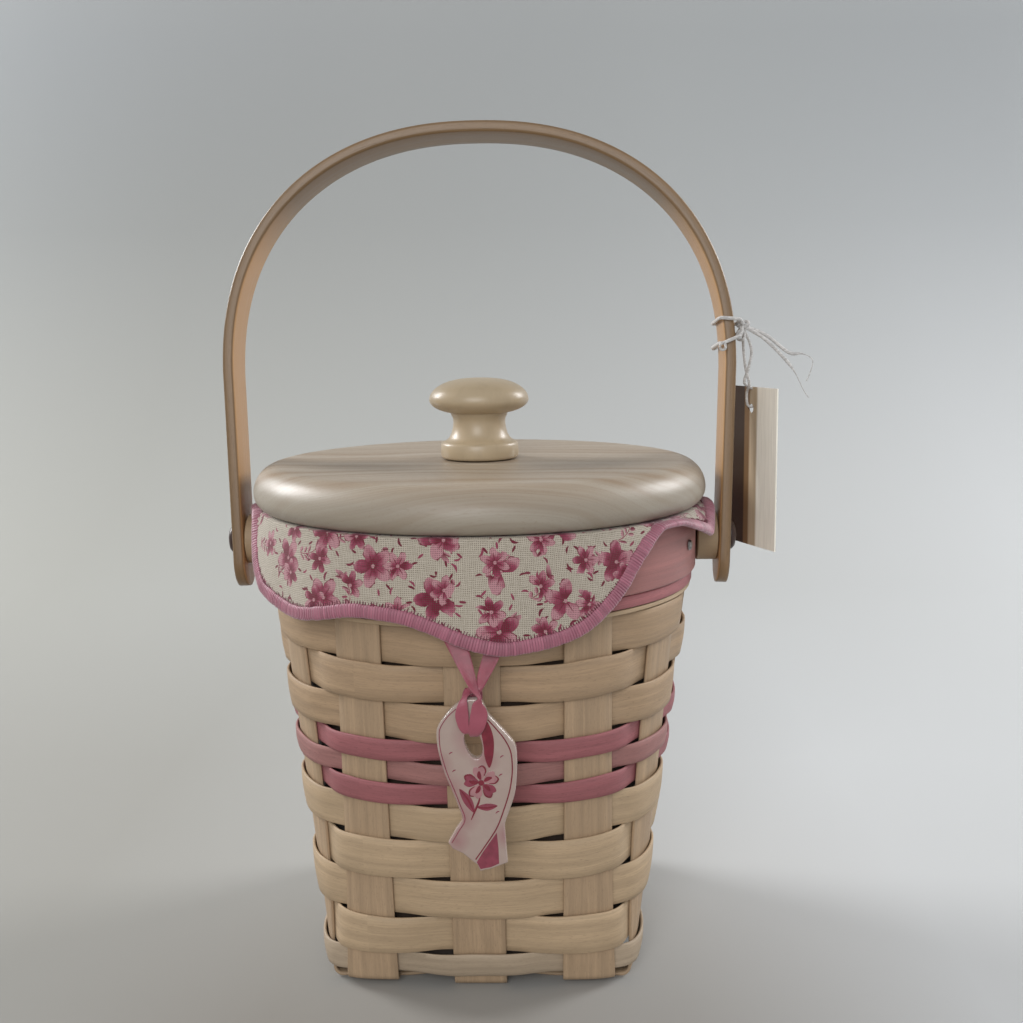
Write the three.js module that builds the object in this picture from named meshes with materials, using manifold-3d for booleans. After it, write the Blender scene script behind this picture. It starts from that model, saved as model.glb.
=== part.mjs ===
// Lidded splint basket: woven body, bentwood rim, swing handle, turned lid, cloth liner, hanging
// charm and blank hang tag. Millimetres, +Z up, the front faces -Y and the floor is z = 0.
import * as THREE from 'three';
import { mergeVertices } from 'three/addons/utils/BufferGeometryUtils.js';
import Module from 'manifold-3d';

const wasm = await Module();
wasm.setup();

const degree = Math.PI / 180;

// Gaps
const touchGap = 0.3;
const rowGap = 0.35;
const runningGap = 0.4;
const cutOverrun = 5;

// Splints, which form the base and turn up as the twelve stakes
const splintWidth = 15.9;
const splintThickness = 1.0;
const stakePitch = 32.9;
const baseHalf = 45.5;
const baseBend = 2.5;

// Wall: a rounded square at the base that opens into a circle under the rim
const rimRadius = 65.4;
const wallFlare = 0.75;
const cornerSharpness = 70;
const cornerFade = 6;

// Weavers, from the bottom row up
const weaverThickness = 0.9;
const weaverSwing = 2.3;
const firstRowZ = 4.5;
const bottomWeaverWidth = 7.6;
const lowerWeaverWidth = 12.4;
const upperWeaverWidth = 11.1;
const accentWeaverWidth = 6.35;

// Rim
const bandHeight = 19.05;
const bandThickness = 2.7;
const bandChamfer = 0.6;
const innerBandThickness = 2.3;
const innerBandHeight = 16.5;
const pinkTrimHeight = 3.7;
const pinkTrimThickness = 1.5;
const plainTrimHeight = 1.3;
const plainTrimThickness = 1.0;
const stakeSetback = 0.7;
const tackHeadRadius = 1.7;
const tackHeadHeight = 0.8;
const tackShankRadius = 0.7;
const tackShankLength = 2.2;
const tackAngleFromPivot = 21;

// Liner
const clothThickness = 0.6;
const linerClearance = 1.2;
const linerFloorGap = 0.7;
const linerFloorInset = 14;
const linerCornerInset = 1.5;
const linerNeckAboveWeave = 2;
const hemDrop = 30.8;
const hemStandOff = 5.3;
const hemToArmGap = 1.5;
const pivotHemDrop = 0.4;
const bindingWidth = 4.0;
const bindingThickness = 1.6;

// Lid and knob
const lidOverhang = 3.0;
const lidThickness = 13.6;
const lidTopRounding = 8.0;
const lidUndersideRounding = 5.1;
const lidWidestHeight = 5.0;
const spigotDepth = 4.8;
const spigotClearance = 1.2;
const knobRadius = 15.875;
const knobHeight = 25.6;
const knobWidestHeight = 18.7;
const knobUndersideDepth = 4.1;
const knobNeckRadius = 8.0;
const knobNeckHeight = 10.1;
const knobFlangeRadius = 12.3;
const knobFlangeHeight = 5.5;
const knobFlangeEdge = 1.2;
const screwRadius = 2.0;
const screwHeadRadius = 4.0;
const screwHeadHeight = 2.0;
const screwLength = 28;
const screwPoint = 2;
const screwRecess = 1;

// Handle, its spacers and its rivets
const spacerLength = 6.6;
const armSplay = 1.9;
const handleRise = 77.2;
const handlePower = 2.25;
const handleWidth = 16.5;
const handleThickness = 3.6;
const handleChamfer = 0.6;
const pivotAboveBand = -10.7;
const springAbovePivot = 54.5;
const armBelowPivot = 15.5;
const handleLeanBack = 6.2 * degree;
const spacerRadius = 8.0;
const rivetRadius = 2.2;
const rivetCapRadius = 4.8;
const rivetCapHeight = 2.3;
const rivetInnerHeadRadius = 4.0;
const rivetInnerHeadThickness = 1.0;
const rivetHeadGap = 0.5;

// Charm and its ribbon
const charmHeight = 49;
const charmThickness = 3.0;
const charmBevel = 0.5;
const charmBeyondFlap = 6.7;
const charmHoleX = 1.4;
const charmHoleBelowRim = 54.85;
const charmHoleHalfWidth = 2.2;
const charmHoleHalfHeight = 4.6;
const charmHoleTilt = 16 * degree;
const ribbonWidth = 5.0;
const ribbonThroughHole = 2.2;
const ribbonThickness = 0.4;
const ribbonSpread = 11;
const ribbonEndBelowRim = 13.2;
const ribbonFromCharm = 0.8;

// Hang tag and its string
const tagWidth = 30;
const tagHeight = 52;
const tagThickness = 0.5;
const tagHoleRadius = 1.5;
const tagHoleFromTop = 7;
const tagTurn = 67 * degree;
const tagHoleFromKnot = new THREE.Vector3(4.3, 6.8, -26.7);
const stringRadius = 0.55;
const stringToArm = 0.45;
const knotRadius = 2.3;
const knotAlongArm = 66.5;
const knotBehindFrontEdge = 3.25;

// Mesh resolution
const ringSteps = 48;
const clothSteps = 48;
const drillSteps = 14;
const archSteps = 30;

// Colours
const natural = 0x9e896f;
const paleNatural = 0xa5947e;
const pinkWood = 0x965f62;
const lightPinkWood = 0x986c68;
const bandPink = 0xa07774;
const clothCream = 0xb0a597;
const bindingPink = 0x9e6274;
const ribbonPink = 0x9a5466;
const lidMaple = 0xa39b8e;
const knobCream = 0xb3a68a;
const handleMaple = 0x9b856c;
const spacerWood = 0x9b8468;
const capBrown = 0x35211b;
const tackSteel = 0x6a6764;
const screwSteel = 0x8d8b89;
const glazeCream = 0xb9a59e;
const cardCream = 0xa89a86;
const stringWhite = 0xc9c8c6;

const weaverRows = [
  { width: bottomWeaverWidth, colour: paleNatural },
  { width: lowerWeaverWidth, colour: natural },
  { width: lowerWeaverWidth, colour: natural },
  { width: lowerWeaverWidth, colour: natural },
  { width: upperWeaverWidth, colour: natural },
  { width: accentWeaverWidth, colour: pinkWood },
  { width: accentWeaverWidth, colour: lightPinkWood },
  { width: accentWeaverWidth, colour: pinkWood },
  { width: upperWeaverWidth, colour: natural },
  { width: upperWeaverWidth, colour: natural },
  { width: upperWeaverWidth, colour: natural },
];
let nextRowZ = firstRowZ;
for (const row of weaverRows) {
  row.bottom = nextRowZ;
  row.top = nextRowZ + row.width;
  nextRowZ = row.top + rowGap;
}

// Heights and radii that follow from the sizes above
const weaveTop = nextRowZ;
const plainTrimBottom = weaveTop;
const pinkTrimBottom = plainTrimBottom + plainTrimHeight + touchGap;
const bandBottom = pinkTrimBottom + pinkTrimHeight + touchGap;
const bandTop = bandBottom + bandHeight;
const stakeTop = bandTop - stakeSetback;
const stakeOuterRadius = rimRadius + splintThickness / 2;
const bandInnerRadius = stakeOuterRadius + touchGap;
const bandOuterRadius = bandInnerRadius + bandThickness;
const innerBandOuterRadius = rimRadius - splintThickness / 2 - touchGap;
const innerBandInnerRadius = innerBandOuterRadius - innerBandThickness;
const pivotZ = bandTop + pivotAboveBand;
const armInnerX = bandOuterRadius + spacerLength + 2 * touchGap;
const armOuterX = armInnerX + handleThickness;
const handleHalfWidth = armOuterX + armSplay;
const rivetHoleRadius = rivetRadius + runningGap;
const rivetHeadInnerX = innerBandInnerRadius - rivetHeadGap - rivetInnerHeadThickness;
const linerNeckRadius = rivetHeadInnerX - touchGap;
const linerOverRimZ = bandTop + touchGap;
const lidBottomZ = linerOverRimZ + clothThickness + touchGap;
const lidTopZ = lidBottomZ + lidThickness;
const lidRadius = bandOuterRadius + lidOverhang;
const spigotRadius = linerNeckRadius - clothThickness - spigotClearance;
const spigotBottomZ = lidBottomZ - spigotDepth;
const screwBottomZ = spigotBottomZ + screwRecess;
const flapTurnRadius = bandOuterRadius + touchGap + clothThickness;
const charmFrontY = -(flapTurnRadius + charmBeyondFlap);
const charmHoleZ = bandTop - charmHoleBelowRim;

function clamp01(value) {
  return Math.min(Math.max(value, 0), 1);
}

// A closed solid through rings of points, all with the same count. An open run gets flat ends.
function loft(rings, closed) {
  const count = rings[0].length;
  const positions = [];
  for (const ring of rings) {
    for (const point of ring) positions.push(point.x, point.y, point.z);
  }
  const index = [];
  const last = closed ? rings.length : rings.length - 1;
  for (let i = 0; i < last; i++) {
    const a = i * count;
    const b = ((i + 1) % rings.length) * count;
    for (let j = 0; j < count; j++) {
      const k = (j + 1) % count;
      index.push(a + j, b + j, b + k, a + j, b + k, a + k);
    }
  }
  if (!closed) {
    const end = (rings.length - 1) * count;
    for (let j = 1; j < count - 1; j++) {
      index.push(0, j, j + 1);
      index.push(end, end + j + 1, end + j);
    }
  }
  const geometry = new THREE.BufferGeometry();
  geometry.setAttribute('position', new THREE.Float32BufferAttribute(positions, 3));
  geometry.setIndex(index);
  return facingOut(geometry);
}

function signedVolume(geometry) {
  const position = geometry.getAttribute('position');
  const index = geometry.getIndex();
  const [a, b, c] = [new THREE.Vector3(), new THREE.Vector3(), new THREE.Vector3()];
  let sum = 0;
  for (let i = 0; i < index.count; i += 3) {
    a.fromBufferAttribute(position, index.getX(i));
    b.fromBufferAttribute(position, index.getX(i + 1));
    c.fromBufferAttribute(position, index.getX(i + 2));
    sum += a.dot(b.cross(c));
  }
  return sum;
}

function facingOut(geometry) {
  if (signedVolume(geometry) < 0) {
    const index = geometry.getIndex();
    for (let i = 0; i < index.count; i += 3) {
      const swap = index.getX(i + 1);
      index.setX(i + 1, index.getX(i + 2));
      index.setX(i + 2, swap);
    }
  }
  return geometry;
}

function welded(geometry) {
  const plain = geometry.clone();
  plain.deleteAttribute('normal');
  plain.deleteAttribute('uv');
  return facingOut(mergeVertices(plain, 1e-4));
}

function toSolid(geometry) {
  const plain = welded(geometry);
  const vertProperties = new Float32Array(plain.getAttribute('position').array);
  const triVerts = new Uint32Array(plain.getIndex().array);
  return new wasm.Manifold(new wasm.Mesh({ numProp: 3, vertProperties, triVerts }));
}

function toGeometry(solid) {
  const mesh = solid.getMesh();
  const geometry = new THREE.BufferGeometry();
  geometry.setAttribute('position', new THREE.Float32BufferAttribute(mesh.vertProperties, 3));
  geometry.setIndex(new THREE.Uint32BufferAttribute(mesh.triVerts, 1));
  return geometry;
}

function cutAway(geometry, cutters) {
  let solid = toSolid(geometry);
  for (const cutter of cutters) solid = solid.subtract(toSolid(cutter));
  return toGeometry(solid);
}

function joined(geometries) {
  let solid = toSolid(geometries[0]);
  for (const geometry of geometries.slice(1)) solid = solid.add(toSolid(geometry));
  return toGeometry(solid);
}

// A turned solid from [radius, height] points that start and end on the axis, or close up.
function turned(profile, steps) {
  const points = profile.map(([r, z]) => new THREE.Vector2(r, z));
  const geometry = new THREE.LatheGeometry(points, steps);
  geometry.rotateX(Math.PI / 2);
  return welded(geometry);
}

function cylinderAlongX(radius, fromX, toX, z, steps) {
  const geometry = new THREE.CylinderGeometry(radius, radius, Math.abs(toX - fromX), steps);
  geometry.rotateZ(Math.PI / 2);
  geometry.translate((fromX + toX) / 2, 0, z);
  return geometry;
}

function tube(points, radius, steps, sides = 6) {
  const section = new THREE.Shape();
  section.absarc(0, 0, radius, 0, 2 * Math.PI);
  const path = new THREE.CatmullRomCurve3(points, false, 'centripetal');
  const options = { steps, extrudePath: path, bevelEnabled: false, curveSegments: sides / 2 };
  return new THREE.ExtrudeGeometry(section, options);
}

// Wall section at a height: half size across, and the power of its rounded square
function wallHalf(z) {
  return baseHalf + (rimRadius - baseHalf) * clamp01(z / weaveTop) ** wallFlare;
}

function wallPower(z) {
  return 2 + cornerSharpness * (1 - clamp01(z / weaveTop)) / (Math.max(z, 0) + cornerFade);
}

const sectionSteps = 360;
const sections = new Map();

// The quarter of the wall section that starts at the middle of the front and runs to the right,
// with the distance along it
function quarterSection(z) {
  const key = z.toFixed(3);
  if (sections.has(key)) return sections.get(key);
  const half = wallHalf(z);
  const power = wallPower(z);
  const points = [];
  let length = 0;
  for (let i = 0; i <= sectionSteps; i++) {
    const angle = (i / sectionSteps) * Math.PI / 2;
    const across = Math.sin(angle);
    const out = Math.cos(angle);
    const radius = half / (across ** power + out ** power) ** (1 / power);
    const point = { x: radius * across, y: -radius * out, length: 0 };
    if (i > 0) length += Math.hypot(point.x - points[i - 1].x, point.y - points[i - 1].y);
    point.length = length;
    points.push(point);
  }
  const section = { points, length, power };
  sections.set(key, section);
  return section;
}

// Point and outward direction at a distance along the wall, from the middle of the front
function wallPoint(z, distance) {
  const section = quarterSection(z);
  const quarter = Math.floor(distance / section.length + 1e-9);
  const along = distance - quarter * section.length;
  const points = section.points;
  let i = 1;
  while (i < points.length - 1 && points[i].length < along) i++;
  const before = points[i - 1];
  const after = points[i];
  const share = clamp01((along - before.length) / (after.length - before.length));
  const x = before.x + (after.x - before.x) * share;
  const y = before.y + (after.y - before.y) * share;
  const out = new THREE.Vector2(x ** (section.power - 1), -(Math.max(-y, 0) ** (section.power - 1)));
  out.normalize();
  const turn = quarter * Math.PI / 2;
  const point = new THREE.Vector2(x, y).rotateAround(new THREE.Vector2(), turn);
  out.rotateAround(new THREE.Vector2(), turn);
  return { point, out };
}

// Distance along the wall to the middle of a stake. Each side has stakes -1, 0 and 1.
function stakeDistance(z, side, place) {
  const section = quarterSection(z);
  const reach = Math.abs(place) * stakePitch;
  const points = section.points;
  let i = 1;
  while (points[i].x < reach) i++;
  const share = (reach - points[i - 1].x) / (points[i].x - points[i - 1].x);
  const arc = points[i - 1].length + (points[i].length - points[i - 1].length) * share;
  return side * section.length + Math.sign(place) * arc;
}

function offWall(z, distance, offset) {
  const { point, out } = wallPoint(z, distance);
  return new THREE.Vector3(point.x + out.x * offset, point.y + out.y * offset, z);
}

const acrossSplint = [-splintWidth / 2, 0, splintWidth / 2];

// A splint that runs from the front rim, under the base, to the back rim
function splint(place, sitsHigh) {
  const lowMiddle = splintThickness / 2;
  const highMiddle = lowMiddle + splintThickness + touchGap;
  const levelAt = (crossing) => (sitsHigh(crossing) ? highMiddle : lowMiddle);
  const edgeLevel = levelAt(1);
  const wallFoot = edgeLevel + baseBend;
  const half = splintThickness / 2;
  const rings = [];

  const wallRing = (z, side) => {
    const centre = stakeDistance(z, side, side === 0 ? place : -place);
    const sense = side === 0 ? 1 : -1;
    const outer = acrossSplint.map((t) => offWall(z, centre + sense * t, half));
    const inner = acrossSplint.map((t) => offWall(z, centre + sense * t, -half));
    return [...outer, ...inner.reverse()];
  };
  const bendRing = (angle, side) => {
    const foot = wallRing(wallFoot, side);
    const sense = side === 0 ? 1 : -1;
    return foot.map((point, i) => {
      const radius = baseBend + (i < acrossSplint.length ? half : -half);
      const inwards = radius * (1 - Math.sin(angle));
      return new THREE.Vector3(point.x, point.y + sense * inwards, wallFoot - radius * Math.cos(angle));
    });
  };
  const baseRing = (y, z) => {
    const x = place * stakePitch;
    const lower = acrossSplint.map((t) => new THREE.Vector3(x + t, y, z - half));
    const upper = acrossSplint.map((t) => new THREE.Vector3(x + t, y, z + half));
    return [...lower, ...upper.reverse()];
  };

  const rowEdges = weaverRows.map((row) => row.top + rowGap / 2);
  const wallLevels = [stakeTop, ...rowEdges.reverse(), wallFoot];
  const bends = [60 * degree, 30 * degree, 0];
  for (const z of wallLevels) rings.push(wallRing(z, 0));
  for (const angle of bends) rings.push(bendRing(angle, 0));
  const crossingEdge = stakePitch - splintWidth / 2;
  const gap = crossingEdge - splintWidth / 2;
  const levels = [levelAt(-1), levelAt(0), levelAt(1)];
  for (const side of [-1, 1]) {
    const inner = levels[1];
    const outer = levels[side + 1];
    const stations = [0, 1, 2, 3].map((step) => {
      const share = step / 3;
      const blend = (1 - Math.cos(share * Math.PI)) / 2;
      return [side * (splintWidth / 2 + gap * share), inner + (outer - inner) * blend];
    });
    if (side < 0) stations.reverse();
    for (const [y, z] of stations) rings.push(baseRing(y, z));
  }
  for (const angle of [...bends].reverse()) rings.push(bendRing(angle, 2));
  for (const z of [...wallLevels].reverse()) rings.push(wallRing(z, 2));
  return loft(rings, false);
}

// A weaver: one closed hoop that swings outside and inside the stakes by turns, furthest at the
// middle of each stake
function weaver(row, number) {
  const rings = [];
  const halfThickness = weaverThickness / 2;
  const middleZ = (row.bottom + row.top) / 2;
  const ringAt = (distanceAt, offset) => {
    const corner = (z, shift) => offWall(z, distanceAt(z), offset + shift);
    return [
      corner(row.bottom, halfThickness),
      corner(row.top, halfThickness),
      corner(row.top, -halfThickness),
      corner(row.bottom, -halfThickness),
    ];
  };
  for (let stake = 0; stake < 12; stake++) {
    const outside = (stake + number) % 2 === 0 ? 1 : -1;
    const stakeAt = (z, index) => stakeDistance(z, Math.floor(index / 3), (index % 3) - 1);
    const fromEdge = splintWidth / 2;
    const clearAt = (z) => stakeAt(z, stake + 1) - stakeAt(z, stake) - splintWidth;
    const stations = [
      (z) => stakeAt(z, stake),
      (z) => stakeAt(z, stake) + fromEdge,
      (z) => stakeAt(z, stake) + fromEdge + clearAt(z) / 3,
      (z) => stakeAt(z, stake) + fromEdge + (clearAt(z) * 2) / 3,
      (z) => stakeAt(z, stake + 1) - fromEdge,
    ];
    const start = stakeAt(middleZ, stake);
    const spacing = stakeAt(middleZ, stake + 1) - start;
    for (const distanceAt of stations) {
      const phase = ((distanceAt(middleZ) - start) / spacing) * Math.PI;
      rings.push(ringAt(distanceAt, outside * weaverSwing * Math.cos(phase)));
    }
  }
  return loft(rings, true);
}

function hoop(innerRadius, thickness, bottom, height, chamfer) {
  const outer = innerRadius + thickness;
  const top = bottom + height;
  const profile = [[innerRadius, bottom]];
  if (chamfer > 0) {
    profile.push([outer - chamfer, bottom], [outer, bottom + chamfer]);
    profile.push([outer, top - chamfer], [outer - chamfer, top]);
  } else {
    profile.push([outer, bottom], [outer, top]);
  }
  profile.push([innerRadius, top], [innerRadius, bottom]);
  return turned(profile, ringSteps);
}

function pivotDrill(z = pivotZ) {
  const reach = handleHalfWidth + cutOverrun;
  return cylinderAlongX(rivetHoleRadius, -reach, reach, z, drillSteps);
}

// A tack on its own axis: the head outside the band, the shank in the band
function tackSolid() {
  const profile = [
    [0, -tackShankLength],
    [tackShankRadius, -tackShankLength + 0.6],
    [tackShankRadius, touchGap],
    [tackHeadRadius, touchGap],
    [tackHeadRadius * 0.75, touchGap + tackHeadHeight * 0.8],
    [0, touchGap + tackHeadHeight],
  ];
  return turned(profile, 8);
}

const tackHoleRadius = tackShankRadius + touchGap;
const tackAngles = [0, 1, 2, 3].flatMap((quarter) => [
  quarter * 90 + tackAngleFromPivot,
  (quarter + 1) * 90 - tackAngleFromPivot,
]);

function placedOnBand(geometry, angle) {
  const placed = geometry.clone();
  placed.rotateY(Math.PI / 2);
  placed.translate(bandOuterRadius, 0, 0);
  placed.rotateZ(angle * degree);
  placed.translate(0, 0, bandBottom + bandHeight / 2);
  return placed;
}

function outerBand() {
  const hoopGeometry = hoop(bandInnerRadius, bandThickness, bandBottom, bandHeight, bandChamfer);
  const drill = new THREE.CylinderGeometry(tackHoleRadius, tackHoleRadius, 2 * tackShankLength + 1, 8);
  drill.rotateX(Math.PI / 2);
  const cutters = tackAngles.map((angle) => placedOnBand(drill, angle));
  return cutAway(hoopGeometry, [pivotDrill(), ...cutters]);
}

function innerBand() {
  const bottom = bandTop - innerBandHeight;
  const ring = hoop(innerBandInnerRadius, innerBandThickness, bottom, innerBandHeight, 0);
  return cutAway(ring, [pivotDrill()]);
}

// Hem of the liner outside the rim. Each row holds an angle from the middle of the front (degrees,
// positive to the right), then how far the hem stands out and hangs down, as shares of the most.
const hemWave = [
  [-84, 0.87, 0.015],
  [-75, 0.87, 0.100],
  [-70, 0.82, 0.280],
  [-67.5, 0.80, 0.460],
  [-62, 0.75, 0.655],
  [-55, 0.73, 0.735],
  [-50, 0.70, 0.780],
  [-43, 0.70, 0.800],
  [-35, 0.70, 0.757],
  [-28, 0.70, 0.706],
  [-21, 0.70, 0.700],
  [-15, 0.70, 0.722],
  [-8, 0.70, 0.808],
  [-2, 0.74, 0.909],
  [3, 0.77, 0.965],
  [8, 0.80, 1.000],
  [13, 0.80, 0.980],
  [20, 0.77, 0.935],
  [27, 0.70, 0.830],
  [32, 0.66, 0.690],
  [35, 0.66, 0.590],
  [38, 0.64, 0.450],
  [41, 0.65, 0.285],
  [45, 0.68, 0.110],
  [50, 0.79, 0.015],
  [55, 0.91, 0.026],
  [62, 0.98, 0.090],
  [70, 1.00, 0.195],
  [74, 1.00, 0.230],
  [78, 0.98, 0.180],
  [84, 0.94, 0.039],
];
const pivotStandOff = armInnerX - hemToArmGap - flapTurnRadius;
const frontHem = [
  [-90, pivotStandOff, pivotHemDrop],
  ...hemWave.map(([angle, out, down]) => [angle, out * hemStandOff, down * hemDrop]),
  [90, pivotStandOff, pivotHemDrop],
];

function hemAt(angle) {
  let fromFront = ((angle + 180) % 360 + 360) % 360 - 180;
  if (fromFront > 90) fromFront = 180 - fromFront;
  if (fromFront < -90) fromFront = -180 - fromFront;
  let i = 1;
  while (i < frontHem.length - 1 && frontHem[i][0] < fromFront) i++;
  const [angleBefore, outBefore, downBefore] = frontHem[i - 1];
  const [angleAfter, outAfter, downAfter] = frontHem[i];
  const share = clamp01((fromFront - angleBefore) / (angleAfter - angleBefore));
  const out = outBefore + (outAfter - outBefore) * share;
  const down = downBefore + (downAfter - downBefore) * share;
  return { radius: flapTurnRadius + out, z: bandTop - down };
}

// The line that the flap follows at an angle, from the edge of the rim to the hem
function flapLine(angle) {
  const hem = hemAt(angle);
  const start = new THREE.Vector2(flapTurnRadius, linerOverRimZ);
  const end = new THREE.Vector2(hem.radius, hem.z);
  const direction = end.clone().sub(start);
  const length = direction.length();
  direction.normalize();
  return { start, end, direction, length };
}

function atAngle(angle, radius, z) {
  const turn = (angle - 90) * degree;
  return new THREE.Vector3(radius * Math.cos(turn), radius * Math.sin(turn), z);
}

// The liner, as rings from the middle of its floor, up the inside, over the rim to the hem, and
// back along its other face
function liner() {
  const floorZ = 2 * splintThickness + touchGap + linerFloorGap;
  const wallInset = weaverSwing + weaverThickness / 2 + linerClearance;
  const levels = [0.1, 0.26, 0.47, 0.69, 0.89].map((share) => share * weaveTop);
  const angles = [];
  for (let i = 0; i < clothSteps; i++) angles.push((i * 360) / clothSteps);

  const insideRing = (z, inset, level) => angles.map((angle) => {
    const section = quarterSection(z);
    const turn = (angle - 90) * degree;
    const reach = wallHalf(z);
    const power = section.power;
    const across = Math.abs(Math.cos(turn));
    const up = Math.abs(Math.sin(turn));
    const radius = reach / (across ** power + up ** power) ** (1 / power);
    return atAngle(angle, radius - inset, level);
  });
  const hoopRing = (radius, z) => angles.map((angle) => atAngle(angle, radius, z));
  const flapRing = (share, lift) => angles.map((angle) => {
    const line = flapLine(angle);
    const cloth = line.length - bindingWidth - touchGap;
    const out = new THREE.Vector2(-line.direction.y, line.direction.x);
    const point = line.start.clone().addScaledVector(line.direction, cloth * share);
    point.addScaledVector(out, lift);
    return atAngle(angle, point.x, point.y);
  });
  const neckZ = weaveTop + linerNeckAboveWeave;
  const outerFace = [
    insideRing(floorZ, wallInset + linerFloorInset, floorZ),
    insideRing(floorZ, wallInset + linerCornerInset, floorZ),
    ...levels.map((z) => insideRing(z, wallInset, z)),
    hoopRing(linerNeckRadius, neckZ),
    hoopRing(linerNeckRadius, linerOverRimZ),
    flapRing(0, 0),
    flapRing(0.5, 0),
    flapRing(1, 0),
  ];
  const inset = wallInset + clothThickness;
  const upper = linerOverRimZ + clothThickness;
  const innerFace = [
    insideRing(floorZ, wallInset + linerFloorInset, floorZ + clothThickness),
    insideRing(floorZ, inset + linerCornerInset, floorZ + clothThickness),
    ...levels.map((z) => insideRing(z, inset, z)),
    hoopRing(linerNeckRadius - clothThickness, neckZ),
    hoopRing(linerNeckRadius - clothThickness, upper),
    flapRing(0, clothThickness),
    flapRing(0.5, clothThickness),
    flapRing(1, clothThickness),
  ];
  return loft([...outerFace, ...innerFace.reverse()], false);
}

// The bound edge: a flat roll along the hem, on the line that the flap follows
function binding() {
  const middle = clothThickness / 2;
  const halfThick = bindingThickness / 2;
  const section = [
    [0, -halfThick], [bindingWidth * 0.8, -halfThick], [bindingWidth, -halfThick * 0.4],
    [bindingWidth, halfThick * 0.4], [bindingWidth * 0.8, halfThick], [0, halfThick],
  ];
  const rings = [];
  for (let i = 0; i < clothSteps; i++) {
    const angle = (i * 360) / clothSteps;
    const line = flapLine(angle);
    const out = new THREE.Vector2(-line.direction.y, line.direction.x);
    rings.push(section.map(([along, across]) => {
      const point = line.end.clone();
      point.addScaledVector(line.direction, along - bindingWidth);
      point.addScaledVector(out, middle + across);
      return atAngle(angle, point.x, point.y);
    }));
  }
  return loft(rings, true);
}

// A plain round cutter on the basket's axis
function axialCutter(radius, bottom, top) {
  const cutter = new THREE.CylinderGeometry(radius, radius, top - bottom, drillSteps);
  cutter.rotateX(Math.PI / 2);
  cutter.translate(0, 0, (bottom + top) / 2);
  return cutter;
}

function lidDisc() {
  const widest = lidBottomZ + lidWidestHeight;
  const profile = [[0, spigotBottomZ], [spigotRadius, spigotBottomZ]];
  profile.push([spigotRadius, lidBottomZ], [lidRadius - lidUndersideRounding, lidBottomZ]);
  for (const angle of [35, 65, 90]) {
    const turn = angle * degree;
    const radius = lidRadius - lidUndersideRounding * (1 - Math.sin(turn));
    profile.push([radius, widest - lidWidestHeight * Math.cos(turn)]);
  }
  for (const angle of [25, 50, 72, 90]) {
    const turn = angle * degree;
    const radius = lidRadius - lidTopRounding * (1 - Math.cos(turn));
    profile.push([radius, widest + (lidThickness - lidWidestHeight) * Math.sin(turn)]);
  }
  profile.push([0, lidTopZ]);
  const recessTop = screwBottomZ + screwHeadHeight;
  return cutAway(turned(profile, 44), [
    axialCutter(screwRadius + touchGap, spigotBottomZ - cutOverrun, lidTopZ + cutOverrun),
    axialCutter(screwHeadRadius + touchGap, spigotBottomZ - cutOverrun, recessTop),
  ]);
}

// Knob outline from its flat foot up: the flange, the hollow neck and the bulb
function knob() {
  const foot = lidTopZ + touchGap;
  const flangeTop = foot + knobFlangeHeight;
  const neckZ = foot + knobNeckHeight;
  const widestZ = foot + knobWidestHeight;
  const profile = [
    [0, foot],
    [knobFlangeRadius - knobFlangeEdge, foot],
    [knobFlangeRadius, foot + knobFlangeEdge],
    [knobFlangeRadius, flangeTop - knobFlangeEdge],
    [knobFlangeRadius - knobFlangeEdge, flangeTop],
  ];
  const bulb = [-38, -15, 10, 35, 58, 76].map((angle) => {
    const turn = angle * degree;
    const rise = turn < 0 ? knobUndersideDepth : knobHeight - knobWidestHeight;
    return [knobRadius * Math.cos(turn) ** 0.8, widestZ + rise * Math.sin(turn)];
  });
  const [bulbStartRadius, bulbStartZ] = bulb[0];
  const shoulder = flangeTop + (neckZ - flangeTop) * 0.3;
  profile.push([(2 * knobNeckRadius + knobFlangeRadius) / 3, shoulder], [knobNeckRadius, neckZ]);
  for (const share of [1 / 3, 2 / 3]) {
    const radius = knobNeckRadius + (bulbStartRadius - knobNeckRadius) * share ** 2;
    profile.push([radius, neckZ + (bulbStartZ - neckZ) * share]);
  }
  profile.push(...bulb, [0, foot + knobHeight]);
  const holeTop = screwBottomZ + screwLength + screwPoint;
  return cutAway(turned(profile, 28), [axialCutter(screwRadius + touchGap, foot - cutOverrun, holeTop)]);
}

function knobScrew() {
  const headTop = screwBottomZ + screwHeadHeight - touchGap;
  const tip = screwBottomZ + screwLength;
  return turned([
    [0, screwBottomZ],
    [screwHeadRadius, screwBottomZ],
    [screwHeadRadius, headTop],
    [screwRadius, headTop],
    [screwRadius, tip - screwPoint],
    [0, tip],
  ], drillSteps);
}

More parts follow.
